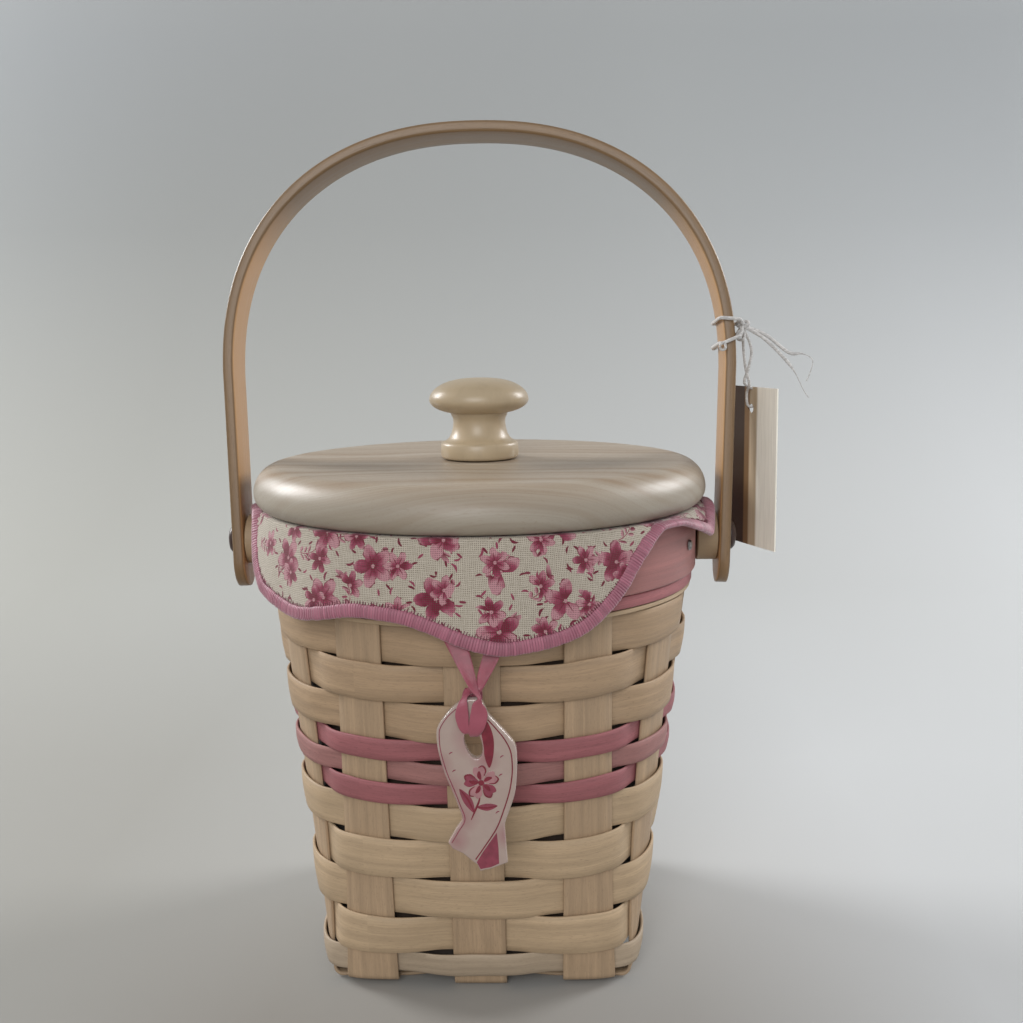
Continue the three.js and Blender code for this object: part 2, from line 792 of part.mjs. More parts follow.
// Outer line of the handle in its own upright plane, from the left arm's end to the right arm's,
// with the pivot axis as origin
function handleLine() {
  const line = [];
  const endRadius = handleWidth / 2;
  for (const angle of [20, 45, 68, 90]) {
    const rise = endRadius * (1 - Math.cos(angle * degree));
    line.push({ z: -armBelowPivot + rise, halfWidth: endRadius * Math.sin(angle * degree) });
  }
  for (const share of [0.1, 0.4, 0.7]) {
    line.push({ z: springAbovePivot * share, halfWidth: endRadius });
  }
  for (const station of line) station.x = -(armOuterX + armSplay * station.z / springAbovePivot);
  const arch = [];
  for (let i = 0; i <= archSteps; i++) {
    const angle = Math.PI * (1 - i / archSteps);
    const reach = Math.abs(Math.cos(angle)) ** (2 / handlePower) * Math.sign(Math.cos(angle));
    const rise = Math.abs(Math.sin(angle)) ** (2 / handlePower);
    const z = springAbovePivot + handleRise * rise;
    arch.push({ x: handleHalfWidth * reach, z, halfWidth: endRadius });
  }
  const right = [...line].reverse().map((station) => ({ ...station, x: -station.x }));
  return [...line, ...arch, ...right];
}

function handleBow() {
  const line = handleLine();
  const rings = line.map((station, i) => {
    const before = line[Math.max(i - 1, 0)];
    const after = line[Math.min(i + 1, line.length - 1)];
    const run = new THREE.Vector2(after.x - before.x, after.z - before.z).normalize();
    const out = new THREE.Vector2(-run.y, run.x);
    const edge = station.halfWidth;
    const corner = Math.min(handleChamfer, edge / 2);
    const side = [
      [edge - corner, 0],
      [edge, -corner],
      [edge, corner - handleThickness],
      [edge - corner, -handleThickness],
    ];
    const section = [...side, ...side.map(([y, depth]) => [-y, depth]).reverse()];
    return section.map(([y, depth]) => (
      new THREE.Vector3(station.x + out.x * depth, y, station.z + out.y * depth)));
  });
  return cutAway(loft(rings, false), [pivotDrill(0)]);
}

function spacer(sign) {
  const from = bandOuterRadius + touchGap;
  const to = armInnerX - touchGap;
  const body = cylinderAlongX(spacerRadius, sign * from, sign * to, pivotZ, 20);
  return cutAway(body, [pivotDrill()]);
}

// One rivet: a flat head inside the rim, the shank, and the dark cap outside the arm
function rivet(sign) {
  const headTo = rivetHeadInnerX + rivetInnerHeadThickness;
  const capFrom = armOuterX + touchGap;
  const geometry = turned([
    [0, rivetHeadInnerX],
    [rivetInnerHeadRadius, rivetHeadInnerX],
    [rivetInnerHeadRadius, headTo],
    [rivetRadius, headTo],
    [rivetRadius, capFrom],
    [rivetCapRadius, capFrom],
    [rivetCapRadius * 0.97, capFrom + rivetCapHeight * 0.45],
    [rivetCapRadius * 0.7, capFrom + rivetCapHeight * 0.85],
    [0, capFrom + rivetCapHeight],
  ], 16);
  geometry.rotateY(sign * Math.PI / 2);
  geometry.translate(0, 0, pivotZ);
  return geometry;
}

// One half of the ribbon, from its end behind the hem down to the charm's hole. Each row holds
// shares of the way from the hole to that end: sideways, back to the band, and up.
const ribbonRun = [
  [1, 1, 1], [0.87, 0.97, 0.78], [0.63, 0.8, 0.59], [0.36, 0.47, 0.45],
  [0.18, 0.09, 0.36], [0.13, 0, 0.27], [0.07, 0, 0.16], [0.04, 0.04, 0.08],
];
const ribbonNarrowing = [1, 1, 1, 1, 1, 1, 0.6, 0];
const ribbonInHole = [0, 0.5, 0.045];

function ribbonStations() {
  const endY = -(bandOuterRadius + touchGap + ribbonThickness);
  const frontY = charmFrontY - ribbonFromCharm;
  const rearY = charmFrontY + charmThickness + ribbonFromCharm;
  const rise = charmHoleBelowRim - ribbonEndBelowRim;
  const half = (sign, faceY) => ribbonRun.map(([aside, back, up], i) => ({
    centre: new THREE.Vector3(
      charmHoleX + sign * ribbonSpread * aside,
      faceY + (endY - faceY) * back,
      charmHoleZ + rise * up,
    ),
    width: ribbonThroughHole + (ribbonWidth - ribbonThroughHole) * ribbonNarrowing[i],
  }));
  const [, through, up] = ribbonInHole;
  const turn = {
    centre: new THREE.Vector3(charmHoleX, frontY + (rearY - frontY) * through, charmHoleZ + rise * up),
    width: ribbonThroughHole,
  };
  return [...half(-1, frontY), turn, ...half(1, rearY).reverse()];
}

function ribbon() {
  const stations = ribbonStations();
  const rings = stations.map(({ centre, width }, i) => {
    const before = stations[Math.max(i - 1, 0)].centre;
    const after = stations[Math.min(i + 1, stations.length - 1)].centre;
    const run = after.clone().sub(before).normalize();
    const face = new THREE.Vector3(1, 0, 0).cross(run).normalize();
    const across = run.clone().cross(face).normalize();
    const section = [[-1, -1], [1, -1], [1, 1], [-1, 1]];
    return section.map(([u, v]) => centre.clone()
      .addScaledVector(across, u * width / 2)
      .addScaledVector(face, v * ribbonThickness / 2));
  });
  return loft(rings, false);
}

// Charm outline about its hole, in hundredths of the charm's height: a ribbon loop whose two
// tails cross
const charmRightSide = [[2.4, 26.7], [8, 17.6], [20.8, 1.2], [23.1, -6.3], [21.4, -20.2], [16.7, -43.9]];
const charmLeftSide = [
  [-7.3, -40.6], [-12.7, -27.8], [-16.9, -14.5], [-21.2, 4.9], [-11.8, 20.8], [-4.1, 26.9],
];
const charmTails = [[18, -68.4], [2.4, -73.1], [0.8, -65.5], [-1.2, -69], [-14.9, -58]];

function charm() {
  const inPlace = ([x, z]) => new THREE.Vector2(x, z).multiplyScalar(charmHeight / 100);
  const right = new THREE.SplineCurve(charmRightSide.map(inPlace));
  const left = new THREE.SplineCurve(charmLeftSide.map(inPlace));
  const outline = [...right.getPoints(12), ...charmTails.map(inPlace), ...left.getPoints(12)];
  const shape = new THREE.Shape();
  shape.setFromPoints(outline.reverse());
  const hole = new THREE.Path();
  const wholeTurn = 2 * Math.PI;
  hole.absellipse(0, 0, charmHoleHalfWidth, charmHoleHalfHeight, 0, wholeTurn, true, charmHoleTilt);
  shape.holes.push(hole);
  const geometry = new THREE.ExtrudeGeometry(shape, {
    depth: charmThickness - 2 * charmBevel,
    bevelEnabled: true,
    bevelThickness: charmBevel,
    bevelSize: charmBevel,
    bevelOffset: -charmBevel,
    bevelSegments: 1,
    curveSegments: 10,
  });
  geometry.rotateX(Math.PI / 2);
  geometry.translate(charmHoleX, charmFrontY + charmThickness - charmBevel, charmHoleZ);
  return welded(geometry);
}

function hangTag() {
  const shape = new THREE.Shape();
  const top = tagHoleFromTop;
  shape.moveTo(-tagWidth / 2, top - tagHeight);
  shape.lineTo(tagWidth / 2, top - tagHeight);
  shape.lineTo(tagWidth / 2, top);
  shape.lineTo(-tagWidth / 2, top);
  const hole = new THREE.Path();
  hole.absarc(0, 0, tagHoleRadius, 0, 2 * Math.PI, true);
  shape.holes.push(hole);
  const options = { depth: tagThickness, bevelEnabled: false, curveSegments: 8 };
  const geometry = new THREE.ExtrudeGeometry(shape, options);
  geometry.translate(0, 0, -tagThickness / 2);
  geometry.rotateX(Math.PI / 2);
  return welded(geometry);
}

// String on the tag: two turns round the right arm, the knot, the pair to the tag's hole and the
// two free ends. The turns clear the arm, which leans back, by their own radius and a gap.
function handlePoint(localX, localY, localZ) {
  const c = Math.cos(handleLeanBack);
  const s = Math.sin(handleLeanBack);
  return new THREE.Vector3(localX, localY * c + localZ * s, pivotZ - localY * s + localZ * c);
}

const stringEndsFromKnot = [
  [[0, 0, 0], [7, -2, -3], [14, -3, -8.5], [18.5, -3.5, -9], [21.4, -4, -11], [20, -4.5, -15]],
  [[0, 0, 0], [6, -4, -4], [11.5, -6, -9.5], [15, -7, -14], [18, -7.5, -20], [19.6, -8, -22.5]],
];
const stringClear = stringRadius + stringToArm;
const stringOuterX = handleHalfWidth + stringClear;
const knotPoint = handlePoint(
  stringOuterX + knotRadius - 2 * stringToArm, knotBehindFrontEdge - handleWidth / 2, knotAlongArm);
const tagHolePoint = knotPoint.clone().add(tagHoleFromKnot);

function tagString() {
  const outerX = stringOuterX;
  const innerX = handleHalfWidth - handleThickness - stringClear - 0.7;
  const halfDepth = handleWidth / 2 + stringClear;
  const turnLoop = (innerZ, outerZ) => [
    knotPoint,
    handlePoint(outerX + 0.2, -halfDepth + 1.0, (outerZ * 2 + innerZ) / 3),
    handlePoint(outerX - 1.0, -halfDepth - 0.1, (outerZ + innerZ) / 2),
    handlePoint(innerX + 1.0, -halfDepth - 0.1, innerZ),
    handlePoint(innerX - 0.1, -halfDepth + 1.2, innerZ),
    handlePoint(innerX - 0.1, 0, innerZ),
    handlePoint(innerX - 0.1, halfDepth - 1.2, innerZ),
    handlePoint(innerX + 1.0, halfDepth + 0.1, innerZ),
    handlePoint(outerX - 1.0, halfDepth + 0.1, outerZ),
    handlePoint(outerX + 0.2, halfDepth - 1.0, outerZ),
    handlePoint(outerX + 0.3, 0, outerZ),
    knotPoint,
  ];
  const upperTurn = tube(turnLoop(68.6, 67.8), stringRadius, 24);
  const lowerTurn = tube(turnLoop(60.8, 64.4), stringRadius, 24);
  const knotBall = new THREE.SphereGeometry(knotRadius, 12, 8);
  knotBall.translate(knotPoint.x, knotPoint.y, knotPoint.z);
  const hole = tagHolePoint;
  const across = new THREE.Vector3(Math.sin(tagTurn), Math.cos(tagTurn), 0);
  const aside = tagThickness / 2 + stringRadius + touchGap;
  const side = (sign, drop) => hole.clone().addScaledVector(across, sign * aside).setZ(hole.z + drop);
  const pair = tube([
    knotPoint,
    knotPoint.clone().lerp(side(1, 9), 0.5).add(new THREE.Vector3(0.8, -0.6, 0)),
    side(1, 9), side(1, 3), side(0.8, -0.2), side(0, -0.9), side(-0.8, -0.2), side(-1, 3), side(-1, 9),
    knotPoint.clone().lerp(side(-1, 9), 0.5).add(new THREE.Vector3(-0.8, 0.6, 0)),
    knotPoint,
  ], stringRadius * 0.8, 28);
  const freeEnds = stringEndsFromKnot.map((route) => {
    const points = route.map(([x, y, z]) => knotPoint.clone().add(new THREE.Vector3(x, y, z)));
    return tube(points, stringRadius, 12);
  });
  return joined([knotBall, upperTurn, lowerTurn, pair, ...freeEnds]);
}

function meshOf(name, geometry, colour, roughness, metalness = 0) {
  const flat = geometry.index ? geometry : welded(geometry);
  flat.computeVertexNormals();
  const material = new THREE.MeshStandardMaterial({ color: colour, roughness, metalness });
  const mesh = new THREE.Mesh(flat, material);
  mesh.name = name;
  return mesh;
}

function wovenBody() {
  const body = new THREE.Group();
  const names = { '-1': 'left', 0: 'middle', 1: 'right' };
  const crossNames = { '-1': 'front', 0: 'middle', 1: 'back' };
  for (const place of [-1, 0, 1]) {
    const even = (crossing) => (place + crossing) % 2 === 0;
    const lengthwise = splint(place, even);
    body.add(meshOf(`splint_front_to_back_${names[place]}`, lengthwise, natural, 0.7));
    let crosswise = splint(place, (crossing) => !even(crossing));
    crosswise.rotateZ(Math.PI / 2);
    if (place === 0) crosswise = cutAway(crosswise, [pivotDrill()]);
    body.add(meshOf(`splint_side_to_side_${crossNames[place]}`, crosswise, natural, 0.7));
  }
  weaverRows.forEach((row, i) => {
    const name = `weaver_${String(i + 1).padStart(2, '0')}`;
    body.add(meshOf(name, weaver(row, i + 1), row.colour, 0.7));
  });
  return body;
}

function rim() {
  const parts = new THREE.Group();
  const start = stakeOuterRadius + touchGap;
  const plain = hoop(start, plainTrimThickness, plainTrimBottom, plainTrimHeight, 0);
  const pink = hoop(start, pinkTrimThickness, pinkTrimBottom, pinkTrimHeight, 0);
  parts.add(meshOf('rim_plain_trim', plain, natural, 0.7));
  parts.add(meshOf('rim_pink_trim', pink, pinkWood, 0.65));
  parts.add(meshOf('rim_outer_band', outerBand(), bandPink, 0.55));
  parts.add(meshOf('rim_inner_band', innerBand(), natural, 0.6));
  tackAngles.forEach((angle, i) => {
    parts.add(meshOf(`rim_tack_${i + 1}`, placedOnBand(tackSolid(), angle), tackSteel, 0.4, 0.8));
  });
  return parts;
}

function lidParts() {
  const parts = new THREE.Group();
  parts.add(meshOf('lid_disc', lidDisc(), lidMaple, 0.4));
  parts.add(meshOf('lid_knob', knob(), knobCream, 0.2));
  parts.add(meshOf('lid_knob_screw', knobScrew(), screwSteel, 0.35, 0.9));
  return parts;
}

function handleParts() {
  const parts = new THREE.Group();
  const swing = new THREE.Group();
  swing.position.set(0, 0, pivotZ);
  swing.rotation.x = -handleLeanBack;
  swing.add(meshOf('handle_bow', handleBow(), handleMaple, 0.5));
  parts.add(swing);
  for (const [sign, side] of [[-1, 'left'], [1, 'right']]) {
    parts.add(meshOf(`handle_spacer_${side}`, spacer(sign), spacerWood, 0.6));
    parts.add(meshOf(`handle_rivet_${side}`, rivet(sign), capBrown, 0.35));
  }
  const tag = meshOf('hang_tag', hangTag(), cardCream, 0.4);
  tag.position.copy(tagHolePoint);
  tag.rotation.z = -tagTurn;
  parts.add(tag);
  parts.add(meshOf('hang_tag_string', tagString(), stringWhite, 0.9));
  return parts;
}

function softParts() {
  const parts = new THREE.Group();
  parts.add(meshOf('liner', liner(), clothCream, 0.9));
  parts.add(meshOf('liner_binding', binding(), bindingPink, 0.8));
  parts.add(meshOf('charm_ribbon', ribbon(), ribbonPink, 0.45));
  parts.add(meshOf('charm', charm(), glazeCream, 0.12));
  return parts;
}

const group = new THREE.Group();
group.add(wovenBody(), rim(), softParts(), lidParts(), handleParts());

export default group;
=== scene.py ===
import math
import random

import bmesh
import bpy
import numpy as np
from mathutils import Matrix, Vector


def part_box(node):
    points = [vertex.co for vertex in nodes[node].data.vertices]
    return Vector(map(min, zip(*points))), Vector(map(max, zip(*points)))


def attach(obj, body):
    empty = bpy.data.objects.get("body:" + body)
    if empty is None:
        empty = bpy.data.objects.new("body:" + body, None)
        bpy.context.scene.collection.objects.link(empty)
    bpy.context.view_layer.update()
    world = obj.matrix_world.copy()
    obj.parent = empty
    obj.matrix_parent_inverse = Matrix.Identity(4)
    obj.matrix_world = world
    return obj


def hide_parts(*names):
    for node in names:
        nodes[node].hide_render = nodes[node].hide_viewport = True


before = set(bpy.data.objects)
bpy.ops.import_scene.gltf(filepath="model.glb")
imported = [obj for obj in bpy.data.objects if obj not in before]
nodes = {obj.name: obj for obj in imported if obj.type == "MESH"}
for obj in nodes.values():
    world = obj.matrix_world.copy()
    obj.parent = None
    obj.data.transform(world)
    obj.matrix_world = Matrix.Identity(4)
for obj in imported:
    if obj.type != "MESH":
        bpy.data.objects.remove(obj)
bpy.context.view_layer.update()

MM = 0.001

# Camera, as fitted to the photograph
CAMERA_PLACE = Vector((0.021428, -0.396717, 0.199845))
CAMERA_PAN = -0.029
CAMERA_TILT = 0.153
CAMERA_ROLL = -0.014
CAMERA_LENS_MM = 43.60
CAMERA_SENSOR_MM = 36.0

# Woven body
SPLINT_WIDTH = 0.0159
SPLINT_THICKNESS = 0.0010
STAKE_PITCH = 0.0329
STAKES = 12
BASE_HALF = 0.0455
BASE_BEND = 0.0025
RIM_RADIUS = 0.0654
WALL_FLARE = 0.75
CORNER_SHARPNESS = 0.070
CORNER_FADE = 0.006
TOUCH_GAP = 0.0003
WORN_EDGE = 0.45
ROW_GAP = 0.00035
FIRST_ROW_Z = 0.0045
WEAVER_THICKNESS = 0.0009
WEAVER_SWING = 0.0014
WEAVER_FLATNESS = 1.7
WEAVER_BOW = 0.00035
EDGE_WANDER = 0.00022
FACE_WANDER = 0.00012
ROW_WIDTHS = [0.0076] + [0.0124] * 3 + [0.0111] + [0.00635] * 3 + [0.0111] * 3
PINK_ROWS = {6: "pink_splint", 7: "light_pink_splint", 8: "pink_splint"}
FIRST_UPPER_ROW = 9

# Rim, lid and knob
HOOP_INNER = 0.0662
SPIGOT_RADIUS = 0.0587
SPIGOT_DROP = 0.0048
SPIGOT_BEVEL = 0.0005
LID_UNDER_ROUND = 0.0051
LID_UNDER_RISE = 0.0050
LID_TOP_ROUND = 0.0080
KNOB_RADIUS = 0.015875
KNOB_WIDEST_Z = 0.0187
KNOB_DOME = 0.0069
KNOB_UNDERSIDE = 0.0048

# Handle, in its own upright frame with Z from the pivot, and how far it leans back
PIVOT_Z = 0.13055
LEAN = math.radians(6.2)
ARM_OUTER = 0.0797
ARM_SPLAY = 0.0019
ARM_BELOW = 0.0155
SPRING_HEIGHT = 0.0545
HANDLE_HALF = 0.0816
HANDLE_RISE = 0.0772
HANDLE_POWER = 2.25
HANDLE_WIDTH = 0.0165
HANDLE_THICKNESS = 0.0036
HANDLE_EASE = 0.0009

# Tag and its string
STRING_DIAMETER = 0.0011
PAIR_DIAMETER = 0.0009
THIN_LOOP_DIAMETER = 0.0008
FRAY_THINNING = 0.72
FRAY_SHARE = 0.12
KNOT = np.array([0.0840, 0.0022, 0.1972])
TAG_HOLE = np.array([0.0883, 0.0090, 0.1705])
TAG_TURN = math.radians(67)

# Cloth liner, its binding and its stitches
LINER_THICKNESS = 0.0006
LINER_FLOOR_Z = 0.0033
BAG_BOTTOM_Z = 0.012
BAG_TOP_Z = 0.112
BAG_INSET = 0.0042
PRINT_RADIUS = 0.0712
NECK_RADIUS = 0.0602
TURN_RADIUS = 0.0695
HEM_STAND_OFF = 0.0053
BINDING_WIDTH = 0.004
BINDING_THICKNESS = 0.0021
BINDING_OVERHANG = 0.0003
BINDING_SQUARENESS = 0.82
STITCH_PITCH = 0.00085

# Charm and ribbon
CHARM_FACE = -0.0765
CHARM_BACK = -0.0735
RIBBON_WIDTH = 0.005
RIBBON_THICKNESS = 0.0004
PAINT_SUNK = 0.00005

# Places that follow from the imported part
BAND_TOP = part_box("rim_outer_band")[1].z
STAKE_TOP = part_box("splint_front_to_back_left")[1].z
LID_LOW, LID_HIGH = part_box("lid_disc")
KNOB_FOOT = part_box("lid_knob")[0].z
OVER_RIM = BAND_TOP + TOUCH_GAP + LINER_THICKNESS / 2


def row_edges():
    """Bottom and top of each weaver, and the height where the weave ends."""
    edges = []
    z = FIRST_ROW_Z
    for width in ROW_WIDTHS:
        edges.append((z, z + width))
        z += width + ROW_GAP
    return edges, z


ROW_EDGES, WEAVE_TOP = row_edges()


def link(made):
    bpy.context.scene.collection.objects.link(made)
    return made


# Camera
def place_camera():
    pan, tilt, roll = CAMERA_PAN, CAMERA_TILT, CAMERA_ROLL
    forward = Vector((math.sin(pan) * math.cos(tilt), math.cos(pan) * math.cos(tilt), -math.sin(tilt)))
    level = Vector((math.cos(pan), -math.sin(pan), 0))
    upright = level.cross(forward)
    right = level * math.cos(roll) + upright * math.sin(roll)
    up = upright * math.cos(roll) - level * math.sin(roll)
    data = bpy.data.cameras.new("camera")
    data.lens = CAMERA_LENS_MM
    data.sensor_width = CAMERA_SENSOR_MM
    data.clip_start = 0.01
    camera = link(bpy.data.objects.new("camera", data))
    turn = Matrix((right, up, -forward)).transposed().to_4x4()
    camera.matrix_world = Matrix.Translation(CAMERA_PLACE) @ turn
    bpy.context.scene.camera = camera


place_camera()


# Shader helpers
def operator(operation):
    """A method that makes the node for a sign between a field and a number or another field."""
    def apply(field, other=0.0):
        return field.shader.math(operation, field, other)
    return apply


class Field:
    """An output of a material's node. Arithmetic on it adds the nodes for it."""

    def __init__(self, shader, socket):
        self.shader = shader
        self.socket = socket

    __add__ = operator("ADD")
    __sub__ = operator("SUBTRACT")
    __mul__ = operator("MULTIPLY")
    __truediv__ = operator("DIVIDE")
    __gt__ = operator("GREATER_THAN")
    __lt__ = operator("LESS_THAN")
    __abs__ = operator("ABSOLUTE")


class Shader:
    """A material's node tree, with short calls for the nodes used here."""

    def __init__(self, name, roughness):
        self.material = bpy.data.materials.new(name)
        self.material.use_nodes = True
        self.tree = self.material.node_tree
        self.surface = self.tree.nodes["Principled BSDF"]
        self.set("Roughness", roughness)

    def put(self, socket, value):
        """Links a field to an input, or sets the input itself to a plain value."""
        if isinstance(value, Field):
            self.tree.links.new(value.socket, socket)
            return
        if socket.type == "RGBA" and len(value) == 3:
            value = (*value, 1.0)
        socket.default_value = value

    def set(self, name, value):
        self.put(self.surface.inputs[name], value)

    def node(self, kind, inputs, output=0, **settings):
        """A new node's output, with values or fields for its inputs by name or number."""
        made = self.tree.nodes.new(kind)
        for key, value in settings.items():
            setattr(made, key, value)
        for key, value in inputs.items():
            self.put(made.inputs[key], value)
        return Field(self, made.outputs[output])

    def math(self, operation, a, b=0.0):
        return self.node("ShaderNodeMath", {0: a, 1: b}, operation=operation)

    def mix(self, share, a, b):
        return self.node("ShaderNodeMix", {0: share, 6: a, 7: b}, 2, data_type="RGBA")

    def ramp(self, value, low, high, start=0.0, end=1.0):
        """Runs from start to end while the value runs from low to high, and stays level beyond."""
        return self.node("ShaderNodeMapRange", {0: value, 1: low, 2: high, 3: start, 4: end}, clamp=True)

    def coords(self, kind, scale=(1, 1, 1), turn=(0, 0, 0)):
        return self.scaled(self.node("ShaderNodeTexCoord", {}, kind), scale, turn)

    def scaled(self, vector, scale, turn=(0, 0, 0)):
        return self.node("ShaderNodeMapping", {"Vector": vector, "Scale": scale, "Rotation": turn})

    def uv(self):
        return self.node("ShaderNodeUVMap", {}, uv_map="UVMap")

    def noise(self, vector, scale, detail=2.0, roughness=0.5, distortion=0.0):
        return self.node("ShaderNodeTexNoise", {
            "Vector": vector, "Scale": scale, "Detail": detail, "Roughness": roughness,
            "Distortion": distortion})

    def bump(self, height, strength, distance):
        self.set("Normal", self.node("ShaderNodeBump", {
            "Strength": strength, "Distance": distance, "Height": height}))

    def vector(self, operation, a, b):
        output = "Value" if operation == "DOT_PRODUCT" else "Vector"
        return self.node("ShaderNodeVectorMath", {0: a, 1: b}, output, operation=operation)

    def split(self, vector):
        made = self.node("ShaderNodeSeparateXYZ", {0: vector})
        return tuple(Field(self, output) for output in made.socket.node.outputs)

    def join(self, x, y, z=0.0):
        return self.node("ShaderNodeCombineXYZ", {0: x, 1: y, 2: z})

    def chances(self, vector):
        """Three random numbers, the same wherever the vector is the same."""
        return self.split(self.node("ShaderNodeTexWhiteNoise", {"Vector": vector}, "Color",
                                    noise_dimensions="3D"))


def colour(red, green, blue):
    """A colour given as it looks on screen, 0 to 255, as the renderer's linear one."""
    def linear(value):
        value /= 255
        return value / 12.92 if value <= 0.04045 else ((value + 0.055) / 1.055) ** 2.4
    return (linear(red), linear(green), linear(blue))


def shade(tint, factor):
    return tuple(value * factor for value in tint)


# Mesh helpers
def new_object(name, vertices, faces, smooth_angle, uvs=None):
    mesh = bpy.data.meshes.new(name)
    mesh.from_pydata([tuple(v) for v in vertices], [], faces)
    if uvs is not None:
        layer = mesh.uv_layers.new(name="UVMap")
        layer.data.foreach_set("uv", np.asarray(uvs, np.float32).ravel())
    mesh.shade_smooth()
    if smooth_angle < 180:
        mesh.set_sharp_from_angle(angle=math.radians(smooth_angle))
    return link(bpy.data.objects.new(name, mesh))


def object_from_bmesh(name, work):
    bmesh.ops.recalc_face_normals(work, faces=work.faces)
    mesh = bpy.data.meshes.new(name)
    work.to_mesh(mesh)
    work.free()
    return link(bpy.data.objects.new(name, mesh))


def loft(name, rings, closed=False, smooth_angle=40):
    """A tube through rings of points. U runs along the rings and V round each, both in metres."""
    rings = np.asarray(rings, float)
    count, size = rings.shape[:2]
    along = np.linalg.norm(np.roll(rings, -1, axis=0) - rings, axis=2).mean(1)
    around = np.linalg.norm(np.roll(rings, -1, axis=1) - rings, axis=2).mean(0)
    u = np.concatenate([[0], np.cumsum(along)])
    v = np.concatenate([[0], np.cumsum(around)])
    last = count if closed else count - 1
    i, j = np.meshgrid(np.arange(last), np.arange(size), indexing="ij")
    i, j = i.ravel(), j.ravel()
    next_i, next_j = (i + 1) % count, (j + 1) % size
    quads = np.stack([i * size + j, next_i * size + j, next_i * size + next_j, i * size + next_j], 1)
    corners = ((i, j), (i + 1, j), (i + 1, j + 1), (i, j + 1))
    uvs = np.stack([np.stack([u[a], v[b]], 1) for a, b in corners], 1).reshape(-1, 2)
    faces = quads.tolist()
    uvs = uvs.tolist()
    if not closed:
        start = list(range(size))
        backwards = start[::-1]
        faces += [start, [(count - 1) * size + k for k in backwards]]
        uvs += [(0, v[k]) for k in start] + [(u[count - 1], v[k]) for k in backwards]
    made = new_object(name, rings.reshape(-1, 3), faces, smooth_angle, uvs)
    face_outwards(made)
    return made


def face_outwards(made):
    """Turns the faces round if the signed volume says that they point in."""
    mesh = made.data
    mesh.calc_loop_triangles()
    points = np.zeros(len(mesh.vertices) * 3)
    mesh.vertices.foreach_get("co", points)
    points = points.reshape(-1, 3)
    corners = np.zeros(len(mesh.loop_triangles) * 3, int)
    mesh.loop_triangles.foreach_get("vertices", corners)
    a, b, c = (points[corners.reshape(-1, 3)[:, k]] for k in range(3))
    if (a * np.cross(b, c)).sum() < 0:
        mesh.flip_normals()


def turned(name, profile, steps, smooth_angle=35):
    """A turned solid about the Z axis from [radius, height] points. Points on the axis close it."""
    profile = np.asarray(profile, float)
    radius, height = profile[:, 0], profile[:, 1]
    angles = np.linspace(0, 2 * math.pi, steps, endpoint=False)
    rings = [np.stack([radius * math.cos(a), radius * math.sin(a), height], 1) for a in angles]
    made = loft(name, rings, closed=True, smooth_angle=180)
    weld(made)
    made.data.set_sharp_from_angle(angle=math.radians(smooth_angle))
    return made


def weld(made, distance=1e-7):
    work = bmesh.new()
    work.from_mesh(made.data)
    bmesh.ops.remove_doubles(work, verts=work.verts, dist=distance)
    bmesh.ops.dissolve_degenerate(work, edges=work.edges, dist=distance)
    bmesh.ops.recalc_face_normals(work, faces=work.faces)
    work.to_mesh(made.data)
    work.free()


def from_front(radius, angle, z):
    """Points by their radius, their angle from the middle of the front to the right, and their height."""
    return np.stack(np.broadcast_arrays(radius * np.sin(angle), -radius * np.cos(angle), z), -1)


def two_faces(front, back):
    """A closed section that goes out along one face and home along the other."""
    return np.concatenate([front, back[::-1]])


def unit(vectors):
    return vectors / np.linalg.norm(vectors, axis=1)[:, None]


def smooth_wave(seed, count, first_turns, size):
    """A closed run of count random values: five sines, the first with so many turns, the next with twice."""
    source = random.Random(seed)
    angle = np.linspace(0, 2 * math.pi, count, endpoint=False)
    total = np.zeros(count)
    for wave in range(1, 6):
        phase = source.uniform(0, 2 * math.pi)
        total += math.sin(wave) * np.sin(first_turns * wave * angle + phase) / wave
    return total * size


def smooth_path(points, per_span=10, closed=False):
    """A smooth curve through the points, with so many steps in each span between two."""
    points = np.asarray(points, float)
    if closed:
        points = np.vstack([points[-1], points, points[:2]])
    else:
        points = np.vstack([2 * points[0] - points[1], points, 2 * points[-1] - points[-2]])
    out = []
    for p0, p1, p2, p3 in zip(points, points[1:], points[2:], points[3:]):
        for step in range(per_span):
            t = step / per_span
            out.append(0.5 * (2 * p1 + (p2 - p0) * t + (2 * p0 - 5 * p1 + 4 * p2 - p3) * t * t
                              + (3 * p1 - p0 - 3 * p2 + p3) * t ** 3))
    if not closed:
        out.append(points[-2])
    return np.array(out)


def finish_piece(made, body, material, replaced=()):
    made.data.materials.clear()
    made.data.materials.append(material)
    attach(made, body)
    if replaced:
        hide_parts(*replaced)
    return made


# The tag's string: turns round the handle's arm, a knot, the pair that holds the tag, and the free ends
def leant(points):
    """From the upright handle's frame to the leaning one."""
    points = np.asarray(points, float)
    c, s = math.cos(LEAN), math.sin(LEAN)
    y, z = points[..., 1], points[..., 2]
    return np.stack([points[..., 0], y * c + z * s, PIVOT_Z - y * s + z * c], -1)


